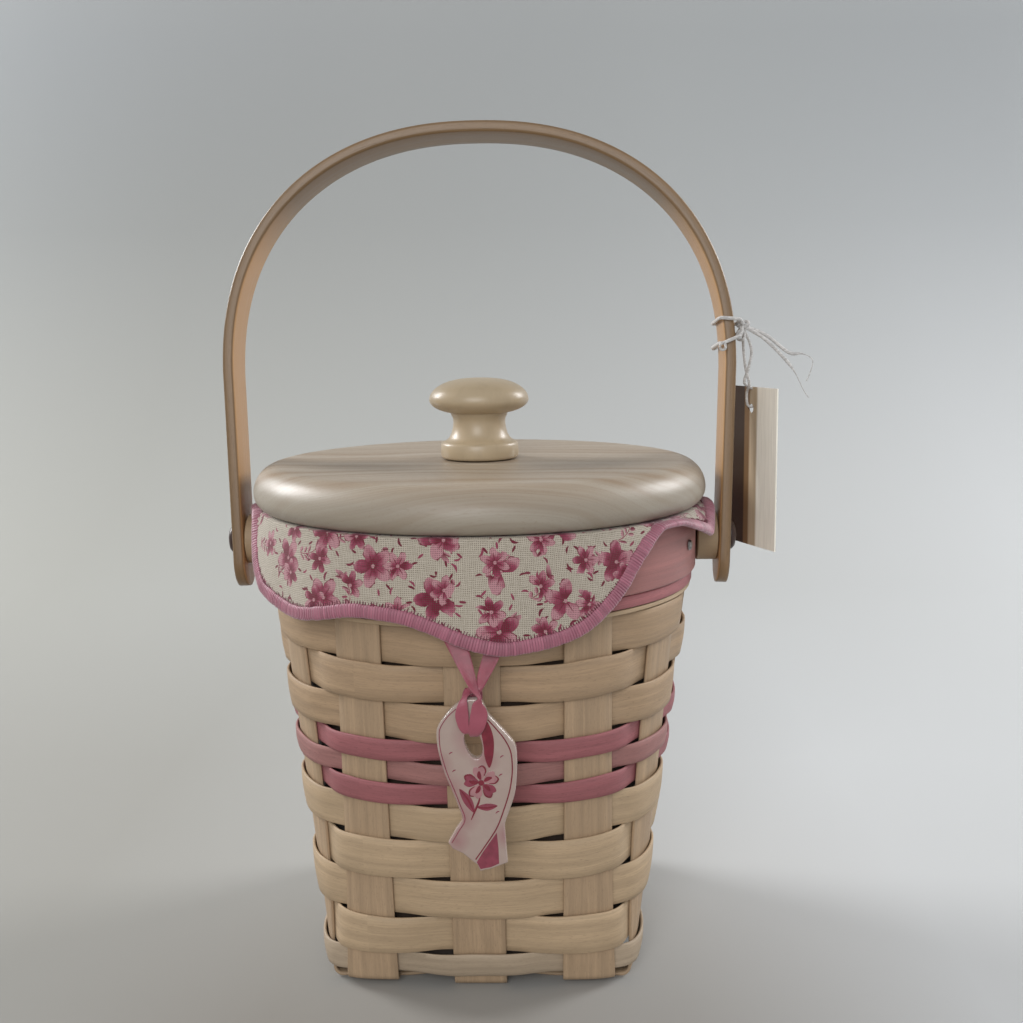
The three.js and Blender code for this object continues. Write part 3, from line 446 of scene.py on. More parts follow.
def cord_piece(name, points, diameter, material, thin_from=None):
    """A curve of one open spline. Past thin_from, a share of its points, it frays out thin."""
    path = smooth_path(points, 8)
    data = bpy.data.curves.new(name, "CURVE")
    data.dimensions = "3D"
    data.bevel_depth = diameter / 2
    data.bevel_resolution = 4
    data.use_fill_caps = True
    spline = data.splines.new("POLY")
    spline.points.add(len(path) - 1)
    for k, (point, place) in enumerate(zip(spline.points, path)):
        point.co = (*place, 1)
        if thin_from is not None:
            share = k / (len(path) - 1)
            point.radius = 1 - FRAY_THINNING * min(max((share - thin_from) / FRAY_SHARE, 0), 1)
    made = link(bpy.data.objects.new(name, data))
    return finish_piece(made, "handle", material)


def tube(name, path, diameter, material):
    """A mesh tube along a closed path."""
    ahead = unit(np.roll(path, -1, axis=0) - np.roll(path, 1, axis=0))
    normal = np.cross(ahead[0], [0.3, 0.2, 0.93])
    rings = []
    for place, direction in zip(path, ahead):
        normal = normal - direction * (normal @ direction)
        normal /= np.linalg.norm(normal)
        side = np.cross(direction, normal)
        rings.append([place + (normal * math.cos(t) + side * math.sin(t)) * diameter / 2
                      for t in np.linspace(0, 2 * math.pi, 12, endpoint=False)])
    made = loft(name, rings, closed=True, smooth_angle=180)
    return finish_piece(made, "handle", material)


def arm_point(x, y, z):
    """A point by the right arm, given in the upright handle's frame in mm, with Z above the pivot."""
    return leant([x * MM, y * MM, z * MM])


def arm_turn(inner_z, outer_z):
    """One turn of string round the arm's four edges, from its height inside to its height outside."""
    # Where the string runs, in mm: outside the arm, inside it, and past its two edges
    outer, inner, half = 82.6, 76.3, 9.25
    return [
        KNOT,
        arm_point(outer + 0.2, -half + 1, (2 * outer_z + inner_z) / 3),
        arm_point(outer - 1, -half - 0.1, (outer_z + inner_z) / 2),
        arm_point(inner + 1, -half - 0.1, inner_z),
        arm_point(inner - 0.1, -half + 1.2, inner_z),
        arm_point(inner - 0.1, 0, inner_z),
        arm_point(inner - 0.1, half - 1.2, inner_z),
        arm_point(inner + 1, half + 0.1, inner_z),
        arm_point(outer - 1, half + 0.1, outer_z),
        arm_point(outer + 0.2, half - 1, outer_z),
        arm_point(outer + 0.3, 0, outer_z),
    ]


def string_material():
    s = Shader("tag_string", roughness=0.85)
    s.set("Sheen Weight", 0.3)
    fuzz = s.noise(s.coords("Object", (2600, 2600, 2600)), 1.0, 3.0)
    ply = s.noise(s.coords("Object", (900, 900, 2400), (0.6, 0.4, 0)), 1.0, 1.0)
    tint = colour(206, 204, 202)
    s.set("Base Color", s.mix(s.ramp(ply, 0.4, 0.62), shade(tint, 0.72), tint))
    s.bump(fuzz + ply * 1.6, strength=0.5, distance=0.00012)
    return s.material


def string_pair():
    """From the knot down to the tag's hole, round its edge and back up, the two runs crossing halfway."""
    across_hole = np.array([math.sin(TAG_TURN), math.cos(TAG_TURN), 0])

    def beside(sign, drop):
        return TAG_HOLE + across_hole * (sign * 1.8 * MM) + np.array([0, 0, drop * MM])

    half_way = (KNOT + TAG_HOLE) / 2
    above, below = half_way + [0, 0, 0.006], half_way - [0, 0, 0.005]
    swing = np.array([0.0011, -0.0008, 0])
    return [KNOT, above + swing, half_way + swing * 0.4, below - swing * 0.6,
            beside(1, 5.5), beside(1, 2.4), beside(0.72, 1.0), beside(0, 0.5), beside(-0.72, 1.0),
            beside(-1, 2.4), beside(-1, 5.5), below + swing * 0.6, half_way - swing * 0.4, above - swing,
            KNOT]


def build_string():
    cotton = string_material()
    # The two turns' heights above the pivot in mm, inside and outside the arm
    turns = [tube(f"string_turn_{k + 1}", smooth_path(arm_turn(*heights), 8, closed=True),
                  STRING_DIAMETER, cotton)
             for k, heights in enumerate(((68.6, 67.8), (60.8, 64.4)))]
    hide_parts("hang_tag_string")
    angle = np.linspace(0, 2 * math.pi, 90, endpoint=False)
    trefoil = np.stack([
        np.sin(angle) + 1.5 * np.sin(2 * angle), -1.3 * np.sin(3 * angle),
        np.cos(angle) - 1.5 * np.cos(2 * angle)], 1)
    knot = tube("string_knot", KNOT + trefoil * 0.00078, STRING_DIAMETER, cotton)
    small = np.stack([np.cos(angle) * 0.0012, 0.0006 * np.sin(2 * angle), np.sin(angle) * 0.0015], 1)
    loop = tube("string_small_loop", KNOT + [-0.0007, -0.0009, -0.0030] + small, PAIR_DIAMETER, cotton)
    tip = tube("string_arm_loop", arm_point(76.9, -10.6, 59.6) + small * 0.75, THIN_LOOP_DIAMETER, cotton)
    pair = cord_piece("tag_loop", string_pair(), PAIR_DIAMETER, cotton)
    upper_route = KNOT + np.array([[0, 0, 0], [7, -2, -3], [14, -3, -8.5], [18.5, -3.5, -9], [21.4, -4, -11],
                                   [20.6, -4.5, -15], [19.4, -4.8, -17.6]]) * MM
    lower_route = KNOT + np.array([[0, 0, 0], [6, -4, -4], [11.5, -6, -9.5], [15, -7, -14], [18, -7.5, -20],
                                   [19.6, -8, -22.5]]) * MM
    upper = cord_piece("string_end_upper", upper_route, STRING_DIAMETER, cotton, thin_from=0.4)
    lower = cord_piece("string_end_lower", lower_route, STRING_DIAMETER, cotton, thin_from=0.52)


build_string()


# Wall of the woven body: a rounded square at the base that opens into a circle under the rim
def height_share(z):
    return min(max(z / WEAVE_TOP, 0), 1)


def wall_half(z):
    return BASE_HALF + (RIM_RADIUS - BASE_HALF) * height_share(z) ** WALL_FLARE


def wall_power(z):
    """The exponent of the wall's section: 2 for a circle, more for a squarer one."""
    return 2 + CORNER_SHARPNESS * (1 - height_share(z)) / (max(z, 0) + CORNER_FADE)


def quarter_section(z):
    """Points and running length of a quarter of the wall, from the middle of the front."""
    power = wall_power(z)
    angle = np.linspace(0, math.pi / 2, 361)
    across, out = np.sin(angle), np.cos(angle)
    radius = wall_half(z) / (across ** power + out ** power) ** (1 / power)
    x, y = radius * across, -radius * out
    length = np.concatenate([[0], np.cumsum(np.hypot(np.diff(x), np.diff(y)))])
    return x, y, length, power


def wall_length(z):
    return 4 * quarter_section(z)[2][-1]


def wall_points(z, distances):
    """Points on the wall at a height, and outward directions, at distances from the front's middle."""
    x, y, length, power = quarter_section(z)
    distances = np.mod(distances, 4 * length[-1])
    quarter = np.floor(distances / length[-1] + 1e-9)
    along = distances - quarter * length[-1]
    px = np.interp(along, length, x)
    py = np.interp(along, length, y)
    nx, ny = px ** (power - 1), -(np.maximum(-py, 0) ** (power - 1))
    size = np.hypot(nx, ny)
    nx, ny = nx / size, ny / size
    c, s = np.cos(quarter * math.pi / 2), np.sin(quarter * math.pi / 2)
    return (np.stack([px * c - py * s, px * s + py * c], -1),
            np.stack([nx * c - ny * s, nx * s + ny * c], -1))


def stake_distance(z, index):
    """Distance along the wall to the middle of a stake, counted from the front's left one."""
    x, _, length, _ = quarter_section(z)
    side, place = divmod(index, 3)
    place -= 1
    arc = float(np.interp(abs(place) * STAKE_PITCH, x, length))
    return side * length[-1] + math.copysign(arc, place) * (place != 0)


# Splints and weavers
def strip_section(width, thickness, edge=0.00025, steps=6):
    """Across a strip: shares of its width, and how thick it is there. The edges are worn thinner."""
    inner = np.linspace(edge / width, 1 - edge / width, steps)
    across = np.concatenate([[0], inner, [1]])
    full = np.full(len(across), thickness)
    full[[0, -1]] = thickness * WORN_EDGE
    return across, full


def woven_line(z, number, steps):
    """A weaver's line at a height: points on the wall, outward directions, and its swing from -1 to 1."""
    starts = [stake_distance(z, k) for k in range(STAKES)]
    starts.append(starts[0] + wall_length(z))
    distances, swings = [], []
    for k in range(STAKES):
        outside = 1 if (k + number) % 2 == 0 else -1
        for step in range(steps):
            t = step / steps
            distances.append(starts[k] + (starts[k + 1] - starts[k]) * t)
            swing = math.tanh(WEAVER_FLATNESS * math.cos(math.pi * t)) / math.tanh(WEAVER_FLATNESS)
            swings.append(outside * swing)
    points, out = wall_points(z, distances)
    return points, out, np.array(swings)


def build_weaver(number):
    bottom, top = ROW_EDGES[number - 1]
    across, thickness = strip_section(top - bottom, WEAVER_THICKNESS)
    per_stake = 28
    count = STAKES * per_stake
    low_wave = smooth_wave(number * 7, count, 5, EDGE_WANDER)
    high_wave = smooth_wave(number * 7 + 3, count, 5, EDGE_WANDER)
    out_wave = smooth_wave(number * 7 + 5, count, 3, FACE_WANDER)
    outer, inner = [], []
    for share, thick in zip(across, thickness):
        z = bottom + (top - bottom) * share
        points, out, swing = woven_line(z, number, per_stake)
        bow = math.sin(math.pi * share) * WEAVER_BOW * np.maximum(swing, 0)
        offset = swing * WEAVER_SWING + bow + out_wave * np.abs(swing)
        height = z + low_wave * (1 - share) + high_wave * share
        for face, side in ((outer, 1), (inner, -1)):
            shift = offset + side * thick / 2
            face.append(np.column_stack([points + out * shift[:, None], height]))
    rings = np.stack(two_faces(outer, inner), axis=1)
    return loft(f"woven_row_{number:02d}", rings, closed=True, smooth_angle=50)


def splint_rings(place, crosswise):
    """A splint from rim to rim under the base; crosswise ones run from side to side."""
    across, thickness = strip_section(SPLINT_WIDTH, SPLINT_THICKNESS)
    sideways = (across - 0.5) * SPLINT_WIDTH
    low = SPLINT_THICKNESS / 2
    high = low + SPLINT_THICKNESS + TOUCH_GAP

    def level_at(crossing):
        even = (place + crossing) % 2 == 0
        return high if even != crosswise else low

    foot = level_at(1) + BASE_BEND

    def wall_ring(z, back):
        """Across a stake. The one at the back is the same splint's other end, seen the other way round."""
        index = 7 - place if back else 1 + place
        sense = -1 if back else 1
        points, out = wall_points(z, stake_distance(z, index) + sense * sideways)
        faces = [points + out * (side * thickness / 2)[:, None] for side in (1, -1)]
        return np.column_stack([two_faces(*faces), np.full(2 * len(across), z)])

    def bend_ring(angle, back):
        """Across the bend between the base (0) and a stake (a right angle)."""
        ring = wall_ring(foot, back)
        radius = BASE_BEND + np.concatenate([thickness / 2, -thickness[::-1] / 2])
        inward = -1 if back else 1
        ring[:, 1] += inward * radius * (1 - math.sin(angle))
        ring[:, 2] = foot - radius * math.cos(angle)
        return ring

    def base_ring(y):
        """Across the base, where the splint passes over and under the ones that cross it."""
        crossing = y / STAKE_PITCH
        nearest = min(1, max(-1, round(crossing)))
        flat = SPLINT_WIDTH / 2 / STAKE_PITCH
        past = max(0.0, abs(crossing - nearest) - flat) / (1 - 2 * flat)
        other = min(1, max(-1, nearest + (1 if crossing > nearest else -1)))
        blend = (1 - math.cos(math.pi * min(past, 1.0))) / 2
        z = level_at(nearest) + (level_at(other) - level_at(nearest)) * blend
        x = place * STAKE_PITCH + sideways
        heights = two_faces(z - thickness / 2, z + thickness / 2)
        return np.column_stack([two_faces(x, x), np.full(len(heights), y), heights])

    tops = np.linspace(STAKE_TOP, foot, 70)
    bend = np.radians(np.linspace(78, 0, 8))
    ends = BASE_HALF - BASE_BEND - 0.001
    rings = [wall_ring(z, False) for z in tops]
    rings += [bend_ring(angle, False) for angle in bend]
    rings += [base_ring(y) for y in np.linspace(-ends, ends, 80)]
    rings += [bend_ring(angle, True) for angle in bend[::-1]]
    rings += [wall_ring(z, True) for z in tops[::-1]]
    rings = np.array(rings)
    if crosswise:
        rings = np.stack([-rings[..., 1], rings[..., 0], rings[..., 2]], -1)
    return rings


def wood_strip(name, tint, grain=1.0, roughness=0.62, coat=0.0, inside=None):
    """Split wood: long fibres, broad cloudy tone and fine pores, along the strip's U.

    A tint for the inside, used on faces that look sideways to the plane x = 0, is painted light: a brighter
    sheen on them from the lamps across.
    """
    s = Shader(name, roughness)
    random_start = s.node("ShaderNodeObjectInfo", {}, "Random")
    place = s.vector("ADD", s.coords("UV"), random_start)
    fibres = s.noise(s.scaled(place, (130, 3000, 1)), 1.0, 5.0, 0.65)
    pits = s.noise(s.scaled(place, (520, 4200, 1)), 1.0, 2.0, 0.6)
    streaks = s.noise(s.scaled(place, (14, 520, 1)), 1.0, 3.0, 0.55, 0.4)
    clouds = s.noise(s.scaled(place, (26, 60, 1)), 1.0, 2.0)
    tone = s.mix(s.ramp(streaks, 0.35, 0.72), shade(tint, 0.88), shade(tint, 1.16))
    tone = s.mix(s.ramp(fibres, 0.44, 0.68, 0, 0.42 * grain), tone, shade(tint, 0.66))
    tone = s.mix(s.ramp(pits, 0.60, 0.70, 0, 0.5 * grain), tone, shade(tint, 0.5))
    tone = s.mix(s.ramp(clouds, 0.4, 0.75, 0, 0.4), tone, shade(tint, 0.85))
    # Painted light: inner faces blend to the inside tint, a painted sheen
    if inside:
        sideways = s.vector("MULTIPLY", s.coords("Object"), (1, 0, 0))
        facing = s.vector("DOT_PRODUCT", s.coords("Normal"), sideways)
        tone = s.mix(s.ramp(facing, -0.065, -0.04, 0.85, 0.0), tone, inside)
    s.set("Base Color", tone)
    s.set("Roughness", s.ramp(streaks, 0.3, 0.8, roughness - 0.06, roughness + 0.1))
    s.bump(fibres + streaks * 1.5, strength=0.5, distance=0.00012)
    s.set("Coat Weight", coat)
    s.set("Coat Roughness", 0.3)
    return s.material


NATURAL = colour(182, 158, 128)
row_woods = {
    "natural_splint": wood_strip("natural_splint", NATURAL),
    "upper_rows": wood_strip("upper_rows", colour(169, 143, 114)),
    "pale_splint": wood_strip("pale_splint", colour(172, 154, 132)),
    "pink_splint": wood_strip("pink_splint", colour(152, 92, 96), grain=1.2),
    "light_pink_splint": wood_strip("light_pink_splint", colour(156, 110, 106), grain=1.2),
}


def build_body():
    for number in range(1, len(ROW_WIDTHS) + 1):
        slot = "pale_splint" if number == 1 else PINK_ROWS.get(number, "natural_splint")
        wood = row_woods["upper_rows" if number >= FIRST_UPPER_ROW else slot]
        finish_piece(build_weaver(number), "basket", wood, [f"weaver_{number:02d}"])
    stake_wood = wood_strip("stakes", colour(170, 145, 117))
    for crosswise, prefix, run, names in (
            (False, "stake_pair", "front_to_back", ("left", "middle", "right")),
            (True, "side_stake_pair", "side_to_side", ("front", "middle", "back"))):
        for place, name in zip((-1, 0, 1), names):
            made = loft(f"{prefix}_{name}", splint_rings(place, crosswise), smooth_angle=50)
            finish_piece(made, "basket", stake_wood, [f"splint_{run}_{name}"])


build_body()


# Rim hoops
def solid_wood(name, tint, grain, roughness, coat=0.0, streak=0.5):
    """Sawn or turned wood: the grain's layers run through the piece, stretched along one axis."""
    s = Shader(name, roughness)
    place = s.coords("Object", grain)
    layers = s.noise(place, 1.0, 3.0, 0.55, 0.6)
    fibres = s.noise(place, 7.0, 4.0, 0.6)
    clouds = s.noise(s.coords("Object", (9, 14, 20)), 1.0, 2.0)
    tone = s.mix(s.ramp(layers, 0.36, 0.68, 0, streak), shade(tint, 1.04), shade(tint, 0.78))
    tone = s.mix(s.ramp(fibres, 0.5, 0.78, 0, 0.4), tone, shade(tint, 0.7))
    tone = s.mix(s.ramp(clouds, 0.4, 0.7, 0, 0.3), tone, shade(tint, 0.88))
    s.set("Base Color", tone)
    s.bump(fibres, strength=0.25, distance=0.00006)
    if coat:
        s.set("Coat Weight", coat)
        s.set("Coat Roughness", 0.24)
    return s.material


def eased_rectangle(inner, outer, bottom, top, radius):
    """A rectangle's outline with each corner cut by three short faces round a radius."""
    points = []
    for x, y, start in ((outer - radius, bottom + radius, -90), (outer - radius, top - radius, 0),
                        (inner + radius, top - radius, 90), (inner + radius, bottom + radius, 180)):
        for step in range(4):
            angle = math.radians(start + step * 30)
            points.append((x + radius * math.cos(angle), y + radius * math.sin(angle)))
    return points


def build_hoop(name, node, ease, material):
    """A ring of the rim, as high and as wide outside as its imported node."""
    low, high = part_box(node)
    radius, z = np.array(eased_rectangle(HOOP_INNER, high.y, low.z, high.z, ease)).T
    rings = [from_front(radius, a, z) for a in np.linspace(0, 2 * math.pi, 240, endpoint=False)]
    made = loft(name, rings, closed=True, smooth_angle=50)
    finish_piece(made, "basket", material, [node])


def build_rim():
    build_hoop("plain_trim", "rim_plain_trim", 0.0003, row_woods["natural_splint"])
    pink_trim = wood_strip("pink_trim", colour(164, 101, 104), grain=1.2)
    build_hoop("pink_trim", "rim_pink_trim", 0.0005, pink_trim)
    pink_band = wood_strip("pink_band", colour(160, 108, 104), grain=0.5, roughness=0.5)
    build_hoop("outer_band", "rim_outer_band", 0.0007, pink_band)


build_rim()


# Lid, knob and screw
def lid_wood():
    """A flat-sawn board, washed pale: growth layers lean through it and come out as arcs round its edge."""
    s = Shader("lid_maple", roughness=0.42)
    place = s.coords("Object")
    x, y, z = s.split(place)
    wander = s.noise(s.vector("MULTIPLY", place, (9, 16, 16)), 1.0, 2.0)
    depth = y + z * 1.9 + wander * 0.05
    layers = s.noise(s.join(x * 2.5, depth * 150), 1.0, 3.0, 0.5)
    streaks = s.noise(s.join(x * 12, depth * 900), 1.0, 4.0, 0.6)
    pores = s.noise(s.vector("MULTIPLY", place, (420, 2600, 2600)), 1.0, 3.0, 0.7)
    side = s.ramp(z, LID_HIGH.z - 0.006, LID_HIGH.z - 0.0002, 1.0, 0.0)
    tan, pale, grey = colour(151, 131, 109), colour(171, 159, 143), colour(147, 140, 128)
    tone = s.mix(s.ramp(layers, 0.36, 0.60), tan, pale)
    tone = s.mix(s.ramp(streaks, 0.45, 0.70, 0.0, 0.45), tone, shade(tan, 0.86))
    tone = s.mix(side * 0.62, tone, grey)
    tone = s.mix(s.ramp(pores, 0.58, 0.72, 0.0, 0.35), tone, shade(tan, 0.72))
    s.set("Base Color", tone)
    s.set("Roughness", s.ramp(pores, 0.3, 0.7, 0.34, 0.52))
    s.set("Coat Weight", 0.06)
    s.set("Coat Roughness", 0.2)
    s.bump(pores + streaks * 0.6, strength=0.5, distance=0.0001)
    return s.material


def lid_profile():
    low, high, edge = LID_LOW.z, LID_HIGH.z, LID_HIGH.x
    foot = low + SPIGOT_DROP
    waist = foot + LID_UNDER_RISE
    profile = [(0, low), (SPIGOT_RADIUS - SPIGOT_BEVEL, low), (SPIGOT_RADIUS, low + SPIGOT_BEVEL),
               (SPIGOT_RADIUS, foot), (edge - LID_UNDER_ROUND, foot)]
    for angle in np.linspace(0, math.pi / 2, 13)[1:]:
        profile.append((edge - LID_UNDER_ROUND * (1 - math.sin(angle)),
                        waist - LID_UNDER_RISE * math.cos(angle)))
    for angle in np.linspace(0, math.pi / 2, 19)[1:]:
        profile.append((edge - LID_TOP_ROUND * (1 - math.cos(angle)),
                        waist + (high - waist) * math.sin(angle)))
    return profile + [(0.045, high), (0.03, high), (0.015, high), (0, high)]


def knob_profile():
    """A foot, a hollow neck and a domed head, as [radius, height] above the lid."""
    profile = [(0.0, 0.0), (0.0113, 0), (0.0121, 0.0003), (0.0124, 0.0010), (0.0125, 0.0027),
               (0.0124, 0.0045), (0.0121, 0.0051), (0.0114, 0.0055), (0.0105, 0.0059), (0.0097, 0.0067),
               (0.0090, 0.0080), (0.0085, 0.0098), (0.0083, 0.0116), (0.0085, 0.0130), (0.0090, 0.0139)]
    for degrees in range(-60, 90, 6):
        angle = math.radians(degrees)
        rise = KNOB_UNDERSIDE if degrees < 0 else KNOB_DOME
        profile.append((KNOB_RADIUS * math.cos(angle) ** 0.8, KNOB_WIDEST_Z + rise * math.sin(angle)))
    return profile + [(0, KNOB_WIDEST_Z + KNOB_DOME)]


def build_lid():
    lid = turned("lid_board", lid_profile(), 192)
    finish_piece(lid, "lid", lid_wood(), ["lid_disc"])
    knob = turned("knob", [(r, z + KNOB_FOOT) for r, z in knob_profile()], 96, smooth_angle=60)
    lacquer = solid_wood("knob_lacquer", colour(176, 158, 130), (40, 40, 8), roughness=0.4, coat=0.22,
                         streak=0.45)
    finish_piece(knob, "lid", lacquer, ["lid_knob"])


build_lid()


# Handle
def handle_line():
    """The handle's outer line, from the left arm's foot over the arch, as [x, z] points."""
    half_width = HANDLE_WIDTH / 2
    foot = half_width * (1 - np.cos(np.linspace(0.12, 1, 9) * math.pi / 2))
    arm = np.concatenate([foot, np.linspace(0.011, ARM_BELOW + SPRING_HEIGHT, 26)]) - ARM_BELOW
    line = [(-(ARM_OUTER + ARM_SPLAY * z / SPRING_HEIGHT), z) for z in arm]
    for angle in np.radians(np.linspace(178, 90, 60)):
        line.append((-HANDLE_HALF * abs(math.cos(angle)) ** (2 / HANDLE_POWER),
                     SPRING_HEIGHT + HANDLE_RISE * math.sin(angle) ** (2 / HANDLE_POWER)))
    line += [(-x, z) for x, z in line[-2::-1]]
    return np.array(line)


def build_handle():
    line = handle_line()
    along = unit(np.gradient(line, axis=0))
    inward = np.stack([along[:, 1], -along[:, 0]], 1)
    half_width = HANDLE_WIDTH / 2
    reach = np.minimum(line[:, 1] + ARM_BELOW, half_width)
    halves = np.sqrt(np.maximum(half_width ** 2 - (half_width - reach) ** 2, 1e-8))
    rings = []
    for (x, z), (in_x, in_z), half in zip(line, inward, halves):
        section = eased_rectangle(-half, half, 0, HANDLE_THICKNESS, min(HANDLE_EASE, half * 0.6))
        rings.append([(x + in_x * depth, y, z + in_z * depth) for y, depth in section])
    made = loft("bow", leant(rings), smooth_angle=60)
    # The inside tint is painted light, a brighter sheen on the arms' inner faces
    wood = wood_strip("handle_maple", colour(125, 99, 69), grain=0.9, roughness=0.38, coat=0.1,
                      inside=colour(184, 142, 97))
    finish_piece(made, "handle", wood, ["handle_bow"])


build_handle()

# Spacer and rivet profiles: [radius, distance from the middle of the basket]
SPACER_PROFILE = [(0.0027, 0.0692), (0.0076, 0.0692), (0.008, 0.0695), (0.008, 0.0755), (0.0076, 0.0758),
                  (0.0027, 0.0758), (0.0027, 0.0692)]
RIVET_PROFILE = [(0, 0.0608), (0.0036, 0.0608), (0.004, 0.0611), (0.004, 0.0618), (0.0022, 0.0618),
                 (0.0022, 0.08), (0.0047, 0.08), (0.0048, 0.0803), (0.0046, 0.081), (0.0038, 0.0817),
                 (0.0025, 0.0821), (0.0012, 0.0823), (0, 0.0823)]


def build_pivots():
    wood = solid_wood("spacer_wood", colour(160, 137, 108), (30, 160, 160), roughness=0.6)
    s = Shader("rivet_cap", roughness=0.38)
    wear = s.noise(s.coords("Object", (900, 900, 900)), 1.0, 3.0)
    s.set("Base Color", s.mix(s.ramp(wear, 0.35, 0.75), colour(48, 30, 25), colour(66, 44, 36)))
    s.bump(wear, strength=0.2, distance=0.00005)
    for side, sign in (("left", -1), ("right", 1)):
        to_pivot = Matrix.Translation((0, 0, PIVOT_Z)) @ Matrix.Rotation(math.radians(90 * sign), 4, "Y")
        for kind, profile, material, slot in (("spacer", SPACER_PROFILE, wood, "spacer_wood"),
                                              ("rivet", RIVET_PROFILE, s.material, "rivet_cap")):
            made = turned(f"{kind}_{side}", profile, 48, smooth_angle=50)
            made.data.transform(to_pivot)
            finish_piece(made, "basket", material, [f"handle_{kind}_{side}"])


build_pivots()


# Cloth liner: a bag inside the basket, over the rim, and a shaped flap outside it
# Each row: degrees from the front's middle, the share of the most that the hem stands off, its drop in mm
HEM_WAVE = [
    (-90, 0.91, 0.4), (-84, 0.66, 0.3), (-80, 0.55, 0.3), (-76, 0.55, 0.5), (-74, 0.56, 1.6),
    (-72.6, 0.60, 4.0), (-71.2, 0.66, 7.2), (-70, 0.70, 10), (-68.5, 0.75, 13), (-65.5, 0.76, 17),
    (-62, 0.75, 20.3), (-57, 0.73, 22.2), (-50.9, 0.70, 23.9), (-43, 0.70, 24.7), (-34, 0.70, 23.2),
    (-27, 0.70, 21.6), (-20.7, 0.70, 21.6), (-14.8, 0.70, 22.3), (-8.2, 0.70, 24.9), (-1.9, 0.74, 28),
    (2.4, 0.77, 29.6), (6.6, 0.80, 30.6), (13, 0.80, 30.2), (19.7, 0.77, 28.9), (26.8, 0.70, 25.7),
    (31.9, 0.66, 21.4), (34.6, 0.66, 18.5), (37.4, 0.64, 14.7), (40.4, 0.64, 9.5), (43, 0.66, 6),
    (45.5, 0.68, 3), (48, 0.75, 0.6), (50.5, 0.80, 0.2), (55, 0.91, 0.2), (62, 0.98, 2.8), (70, 1.00, 6),
    (74, 1.00, 7.2), (77, 0.98, 6.5), (80, 0.96, 4), (84, 0.94, 1.2), (90, 0.91, 0.4),
]


def smooth_curve(x, y, fine):
    """A curve through points, a cubic in each span and level at both ends, read at the fine values."""
    slope = np.gradient(y, x)
    slope[[0, -1]] = 0
    k = np.clip(np.searchsorted(x, fine, side="right") - 1, 0, len(x) - 2)
    h = x[k + 1] - x[k]
    t = (fine - x[k]) / h
    return ((1 + 2 * t) * (1 - t) ** 2 * y[k] + t * (1 - t) ** 2 * h * slope[k]
            + t * t * (3 - 2 * t) * y[k + 1] + t * t * (t - 1) * h * slope[k + 1])


def hem_at(angle):
    """How far the hem stands off and how far it drops at angles from the middle of the front."""
    angle = (np.asarray(angle, float) + 180) % 360 - 180
    angle = np.where(angle > 90, 180 - angle, np.where(angle < -90, -180 - angle, angle))
    wave = np.array(HEM_WAVE)
    fine = np.linspace(-90, 90, 721)
    out = smooth_curve(wave[:, 0], wave[:, 1], fine)
    down = smooth_curve(wave[:, 0], wave[:, 2], fine)
    return np.interp(angle, fine, out) * HEM_STAND_OFF, np.interp(angle, fine, down) * MM


def flap_point(angle, share):
    """Middle of the cloth on the flap, from the turn over the rim (0) to the hem (1)."""
    out, down = hem_at(angle)
    a = np.radians(angle)
    # It swings out faster near the rim, and its folds fade where the flap is shorter than a centimetre
    ease = share * (1.25 - 0.25 * share)
    fold = 0.00045 * np.sin(9 * a + 1.1) + 0.0003 * np.sin(17 * a + 0.4)
    radius = TURN_RADIUS + out * ease + fold * share * np.minimum(down / 0.01, 1)
    return from_front(radius, a, OVER_RIM - (down + 0.0004) * share)


def bag_row(z, inset, angle, scale=1.0):
    """A level ring of the bag, inside the wall by the inset."""
    power = wall_power(z)
    across = np.abs(np.sin(angle)) ** power + np.abs(np.cos(angle)) ** power
    return from_front((wall_half(z) - inset) / across ** (1 / power) * scale, angle, z)


def liner_rows(degrees):
    """Rings of cloth from the middle of the floor up the bag, over the rim and down the flap."""
    angle = np.radians(degrees)
    rows = []
    # The floor: shares of its outline, and how far each is lifted above the floor
    for scale, lift in ((0.03, 0), (0.2, 0), (0.4, 0), (0.6, 0), (0.72, 0), (0.84, 0.0009), (0.94, 0.0034)):
        row = bag_row(BAG_BOTTOM_Z, 0.004, angle, scale)
        row[:, 2] = LINER_FLOOR_Z + lift
        rows.append(row)
    for z in np.linspace(BAG_BOTTOM_Z, BAG_TOP_Z, 26):
        share = (z - BAG_BOTTOM_Z) / (BAG_TOP_Z - BAG_BOTTOM_Z)
        ripple = 0.00028 * np.sin(23 * angle + 3 * math.sin(z * 60)) * math.sin(math.pi * share)
        rows.append(bag_row(z, BAG_INSET, angle) + from_front(ripple, angle, 0.0))
    neck = [(NECK_RADIUS, z) for z in (0.1186, 0.123, 0.129, 0.135, 0.1392)]
    over = [(NECK_RADIUS + 0.0002, 0.1408), (NECK_RADIUS + 0.0011, OVER_RIM - 0.0001),
            (NECK_RADIUS + 0.004, OVER_RIM), (TURN_RADIUS - 0.0026, OVER_RIM)]
    rows += [from_front(radius, angle, z) for radius, z in neck + over]
    flap_start = len(rows)
    rows += [flap_point(degrees, share * 0.985) for share in np.linspace(0, 1, 40)]
    return np.array(rows), flap_start


